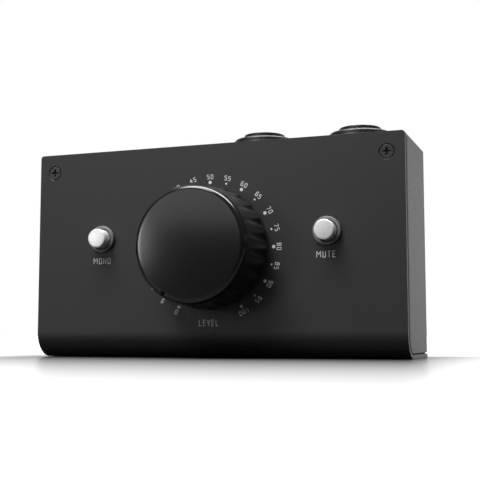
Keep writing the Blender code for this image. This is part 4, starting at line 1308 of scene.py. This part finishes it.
class OutputSockets(bpy.types.Operator):
    """Builds the two output sockets, each a cup with three round-ended pins"""

    bl_idname = "controller.output_sockets"
    bl_label = "Output sockets"

    def execute(self, context):
        socket = context.scene.controller.socket
        for name in ("output_left", "output_right"):
            low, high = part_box(name)
            middle = (low + high) / 2
            foot = low.z - HEIGHT
            points = [
                (0, CUP_FLOOR),
                (NOSE, CUP_FLOOR, socket.edge),
                (NOSE, RIM_HEIGHT, socket.edge),
                (RING, RIM_HEIGHT, RIM_EDGE),
                (RING, foot),
                (0, foot),
            ]
            mesh = with_flange(lathe("output_socket", filleted(points)), name)
            hole = rod(PIN_HOLE, foot - OVERRUN, CUP_FLOOR + OVERRUN)
            mesh = combined(mesh, [(hole, place) for place in contact_places()])
            matrix = on_top(middle.x)
            add_piece(f"{name}_piece", mesh, matrix, "case", "socket_plastic", [name])
            for number, place in enumerate(contact_places(), 1):
                pin = f"{name}_pin_{number}"
                low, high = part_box(pin)
                radius = (high.x - low.x) / 2
                end = high.z - HEIGHT
                points = [(0, end), (radius, end, PIN_TIP), (radius, foot), (0, foot)]
                mesh = lathe("pin", filleted(points), SMALL_STEPS)
                matrix = on_top(middle.x) @ Matrix.Translation(place.translation)
                add_piece(f"{pin}_piece", mesh, matrix, "case", "contact_brass", [pin])
        return {"FINISHED"}


class SocketScrews(bpy.types.Operator):
    """Builds the eight pan-head screws that hold the sockets to the top plate"""

    bl_idname = "controller.socket_screws"
    bl_label = "Socket screws"

    def execute(self, context):
        for socket in SOCKETS:
            for end in ("front", "back"):
                name = f"{socket}_screw_{end}"
                low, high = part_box(name)
                head = (high.x - low.x) / 2
                top = high.z - HEIGHT
                foot = low.z - HEIGHT
                points = [
                    (0, top),
                    (head, top, PAN_EDGE),
                    (head, SEAT),
                    (PAN_SHANK, SEAT),
                    (PAN_SHANK, foot),
                    (0, foot),
                ]
                mesh = lathe("pan_screw", filleted(points), SMALL_STEPS)
                mesh = combined(mesh, [(cross_tool(top), Matrix())])
                middle = (low + high) / 2
                matrix = on_top(middle.x, middle.y)
                add_piece(f"{name}_piece", mesh, matrix, "case", "screw_black", [name])
        return {"FINISHED"}


class AuxJack(bpy.types.Operator):
    """Builds the small stereo jack and its slotted ring nut"""

    bl_idname = "controller.aux_jack"
    bl_label = "Aux jack"

    def execute(self, context):
        low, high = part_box("aux_jack")
        middle = (low + high) / 2
        top = high.z - HEIGHT
        body = slab("aux_jack", low.z - HEIGHT, AUX_CORNER)
        root = FLANGE_TOP - OVERRUN
        points = [(0, top), (AUX_BUSH, top, AUX_EDGE), (AUX_BUSH, root), (0, root)]
        bush = lathe("bush", filleted(points))
        mesh = combined(body, [(bush, Matrix())], "UNION")
        bore = [
            (0, top + OVERRUN),
            (AUX_BORE + EDGE + OVERRUN, top + OVERRUN),
            (AUX_BORE, top - EDGE),
            (AUX_BORE, top - AUX_DEPTH),
            (0, top - AUX_DEPTH),
        ]
        mesh = combined(mesh, [(lathe("bore", bore, SMALL_STEPS), Matrix())])
        matrix = on_top(middle.x)
        add_piece("aux_jack_piece", mesh, matrix, "case", "socket_plastic", ["aux_jack"])
        low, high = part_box("aux_nut")
        outer = (high.x - low.x) / 2
        top = high.z - HEIGHT
        points = [(outer, top, AUX_EDGE), (outer, SEAT), (SHAFT, SEAT), (SHAFT, top, EDGE)]
        mesh = lathe("aux_nut", filleted(points))
        far = outer + OVERRUN
        low = (-far, -NUT_SLOT / 2, top - NUT_SLOT_DEPTH)
        slot = block(low, (far, NUT_SLOT / 2, top + OVERRUN))
        mesh = combined(mesh, [(slot, Matrix())])
        add_piece("aux_nut_piece", mesh, matrix, "case", "zinc_steel", ["aux_nut"])
        return {"FINISHED"}


class InnerPieces(bpy.types.Operator):
    """Gives the pieces inside the case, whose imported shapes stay, their materials"""

    bl_idname = "controller.inner_pieces"
    bl_label = "Inner pieces"

    def execute(self, context):
        kept = {
            "zinc_steel": ("knob_ring", "pot_", "_nut"),
            "socket_plastic": ("_plunger", "_switch", "_header"),
            "board_green": ("_board",),
            "cable_grey": ("ribbon_cable", "aux_lead"),
        }
        for name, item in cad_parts.items():
            for finish, words in kept.items():
                if any(word in name for word in words) and name != "aux_nut":
                    for slot in item.material_slots:
                        slot.material = material(finish)
        return {"FINISHED"}


def offset_line(points, half, closed):
    """Points beside a path, at a distance to its left, cut short at sharp corners."""
    path = [Vector(point) for point in points]
    count = len(path)
    beside = []
    for index, here in enumerate(path):
        before = here - path[index - 1] if closed or index else path[1] - path[0]
        after = path[(index + 1) % count] - here if closed or index < count - 1 else before
        first = Vector((-before.y, before.x)).normalized()
        second = Vector((-after.y, after.x)).normalized()
        joint = first + second
        if joint.length > MITRE:
            beside.append(here + joint * (2 * half / joint.length_squared))
        elif before.cross(after) * half > 0:
            beside.append(here + joint.normalized() * half)
        else:
            beside += [here + first * half, here + second * half]
    return beside


def stroke_outlines(kind, points, half):
    """The closed outlines of one stroke, with its ends cut back where it meets another."""
    path = [Vector(point[:2]) for point in points]
    room = half + STROKE_GAP
    if kind in ("stem", "bar"):
        path[0] += (path[1] - path[0]).normalized() * room
    if kind in ("hook", "bar"):
        path[-1] += (path[-2] - path[-1]).normalized() * room
    turned = [tuple(point) for point in path]
    radius = STROKE_BEND * half
    if kind == "ring":
        turned = filleted([(*point, radius) for point in turned], 3)
        return [offset_line(turned, half, True), offset_line(turned, -half, True)]
    if kind in ("bend", "hook") and len(turned) > 2:
        inner = [(*point, radius) for point in turned[1:-1]]
        turned = filleted([turned[0], *inner, turned[-1]], 3)
    outline = offset_line(turned, half, False)
    return [outline + list(reversed(offset_line(turned, -half, False)))]


def written(text, width, height, stroke, matrix):
    """The outlines of a word or number of a given size, centred on a 2D place."""
    widths = [WIDE_LETTER if character == "M" else 1 for character in text]
    cell = width / (sum(widths) + LETTER_GAP * (len(text) - 1))
    start = (stroke - width) / 2
    outlines = []
    for character, wide in zip(text, widths):
        reach = wide * cell - stroke
        for kind, points in STROKES[character]:
            spread = [(start + x * reach, (y - 0.5) * (height - stroke)) for x, y in points]
            for outline in stroke_outlines(kind, spread, stroke / 2):
                outlines.append([(matrix @ Vector((*point, 0)))[:2] for point in outline])
        start += (wide + LETTER_GAP) * cell
    return outlines


class FrontPrint(bpy.types.Operator):
    """Prints the dial's dots and numbers and the words beside the controls"""

    bl_idname = "controller.front_print"
    bl_label = "Front print"

    def execute(self, context):
        mark = context.scene.controller.mark
        outlines = []
        for value in range(0, 101, 5):
            angle = math.radians(DIAL_START - DIAL_STEP * value)
            turn = Matrix.Translation((0, DIAL_Z, 0)) @ Matrix.Rotation(angle, 4, "Z")
            radius = SMALL_DOT if value % 10 else LARGE_DOT
            dot = turn @ Vector((0, mark.dots, 0))
            outlines.append(arc(dot, radius, 0, DOT_SWEEP, DOT_STEPS))
            text = str(value)
            place = turn @ Matrix.Translation((0, mark.numbers, 0))
            width = mark.number * NUMBER_WIDTH * (len(text) + LETTER_GAP * (len(text) - 1))
            outlines += written(text, width, mark.number, mark.stroke * NUMBER_STROKE, place)
        for text, width, across, up in WORDS:
            place = Matrix.Translation((across, up, 0))
            outlines += written(text, width, mark.word, mark.stroke, place)
        mesh = prism("front_print", outlines, INK_DEPTH, INK_LIFT)
        add_piece("front_print", mesh, on_front(0, 0), "case", "ink")
        return {"FINISHED"}


class StudioStage(bpy.types.Operator):
    """Sets up the floor board, the light round the object and the camera"""

    bl_idname = "controller.studio_stage"
    bl_label = "Studio stage"

    def execute(self, context):
        stage = context.scene.controller.stage
        scene = context.scene
        tool = bmesh.new()
        bmesh.ops.create_grid(
            tool, x_segments=FLOOR_CELLS, y_segments=FLOOR_CELLS, size=FLOOR_REACH
        )
        floor = bpy.data.objects.new("floor", finished(tool, "floor"))
        scene.collection.objects.link(floor)
        floor.location.z = -FLOOR_DROP
        floor.data.materials.append(material("floor"))
        world = bpy.data.worlds.new("room")
        scene.world = world
        world.use_nodes = True
        tree = world.node_tree
        place = add_node(tree, "ShaderNodeTexCoord")
        split = add_node(
            tree, "ShaderNodeSeparateXYZ", links={"Vector": place.outputs["Generated"]}
        )
        height = add_node(
            tree,
            "ShaderNodeMapRange",
            {"From Min": 0, "From Max": 1, "To Min": stage.front, "To Max": stage.top},
            {"Value": split.outputs["Z"]},
        )
        behind = add_node(
            tree,
            "ShaderNodeMapRange",
            {"From Min": 0.3, "From Max": 0.75},
            {"Value": split.outputs["Y"]},
        )
        level = add_node(
            tree,
            "ShaderNodeMix",
            {"B": stage.back},
            {"Factor": behind.outputs["Result"], "A": height.outputs["Result"]},
        )
        path = add_node(tree, "ShaderNodeLightPath")
        white = path.outputs["Is Glossy Ray"]
        for operation, other in (
            ("MAXIMUM", path.outputs["Is Transmission Ray"]),
            ("MULTIPLY", behind.outputs["Result"]),
            ("MAXIMUM", path.outputs["Is Camera Ray"]),
        ):
            links = {0: white, 1: other}
            white = add_node(tree, "ShaderNodeMath", links=links, operation=operation).outputs[0]
        shown = add_node(
            tree, "ShaderNodeMix", {"B": 1}, {"Factor": white, "A": level.outputs["Result"]}
        )
        tree.links.new(shown.outputs["Result"], tree.nodes["Background"].inputs["Strength"])
        tree.nodes["Background"].inputs["Color"].default_value = (1, 1, 1, 1)
        middle = Vector((0, 0, HEIGHT / 2))
        for name, place, size in LAMPS:
            light = bpy.data.lights.new(name, "AREA")
            light.shape = "RECTANGLE"
            light.size, light.size_y = size
            light.energy = getattr(stage, name)
            item = bpy.data.objects.new(name, light)
            scene.collection.objects.link(item)
            item.location = place
            item.rotation_euler = (middle - Vector(place)).to_track_quat("-Z", "Y").to_euler()
        camera = bpy.data.objects.new("camera", bpy.data.cameras.new("camera"))
        scene.collection.objects.link(camera)
        camera.location = (0.13839, -0.36429, 0.00873)
        camera.rotation_euler = (math.radians(95.73), 0, math.radians(20.15))
        camera.data.lens = stage.lens
        camera.data.clip_start = MM
        scene.camera = camera
        scene.view_settings.view_transform = "Standard"
        return {"FINISHED"}


OPERATORS = (
    CaseCover,
    CaseFrame,
    CaseScrews,
    RearFeet,
    LevelKnob,
    PushButtons,
    ReturnSprings,
    InputSockets,
    OutputSockets,
    SocketScrews,
    AuxJack,
    InnerPieces,
    FrontPrint,
    StudioStage,
)
GROUPS = (
    SheetSettings,
    KnobSettings,
    ButtonSettings,
    PrintSettings,
    SocketSettings,
    StageSettings,
    ControllerSettings,
)


class ControllerPanel(bpy.types.Panel):
    """Lists the settings and the operators that build the controller."""

    bl_idname = "VIEW3D_PT_controller"
    bl_label = "Monitor controller"
    bl_space_type = "VIEW_3D"
    bl_region_type = "UI"
    bl_category = "Controller"

    def draw(self, context):
        settings = context.scene.controller
        for group in ("sheet", "knob", "button", "mark", "socket", "stage"):
            box = self.layout.box()
            box.label(text=group.capitalize())
            values = getattr(settings, group)
            for name in values.__annotations__:
                box.prop(values, name)
        for operator in OPERATORS:
            self.layout.operator(operator.bl_idname)


def register():
    """Registers the settings, the operators and the panel."""
    for group in (*GROUPS, *OPERATORS, ControllerPanel):
        bpy.utils.register_class(group)
    bpy.types.Scene.controller = PointerProperty(type=ControllerSettings)


def unregister():
    """Takes back what register added."""
    del bpy.types.Scene.controller
    for group in reversed((*GROUPS, *OPERATORS, ControllerPanel)):
        bpy.utils.unregister_class(group)


def main():
    """Builds every piece in order."""
    register()
    for operator in OPERATORS:
        group, name = operator.bl_idname.split(".")
        getattr(getattr(bpy.ops, group), name)()


if __name__ == "__main__":
    main()
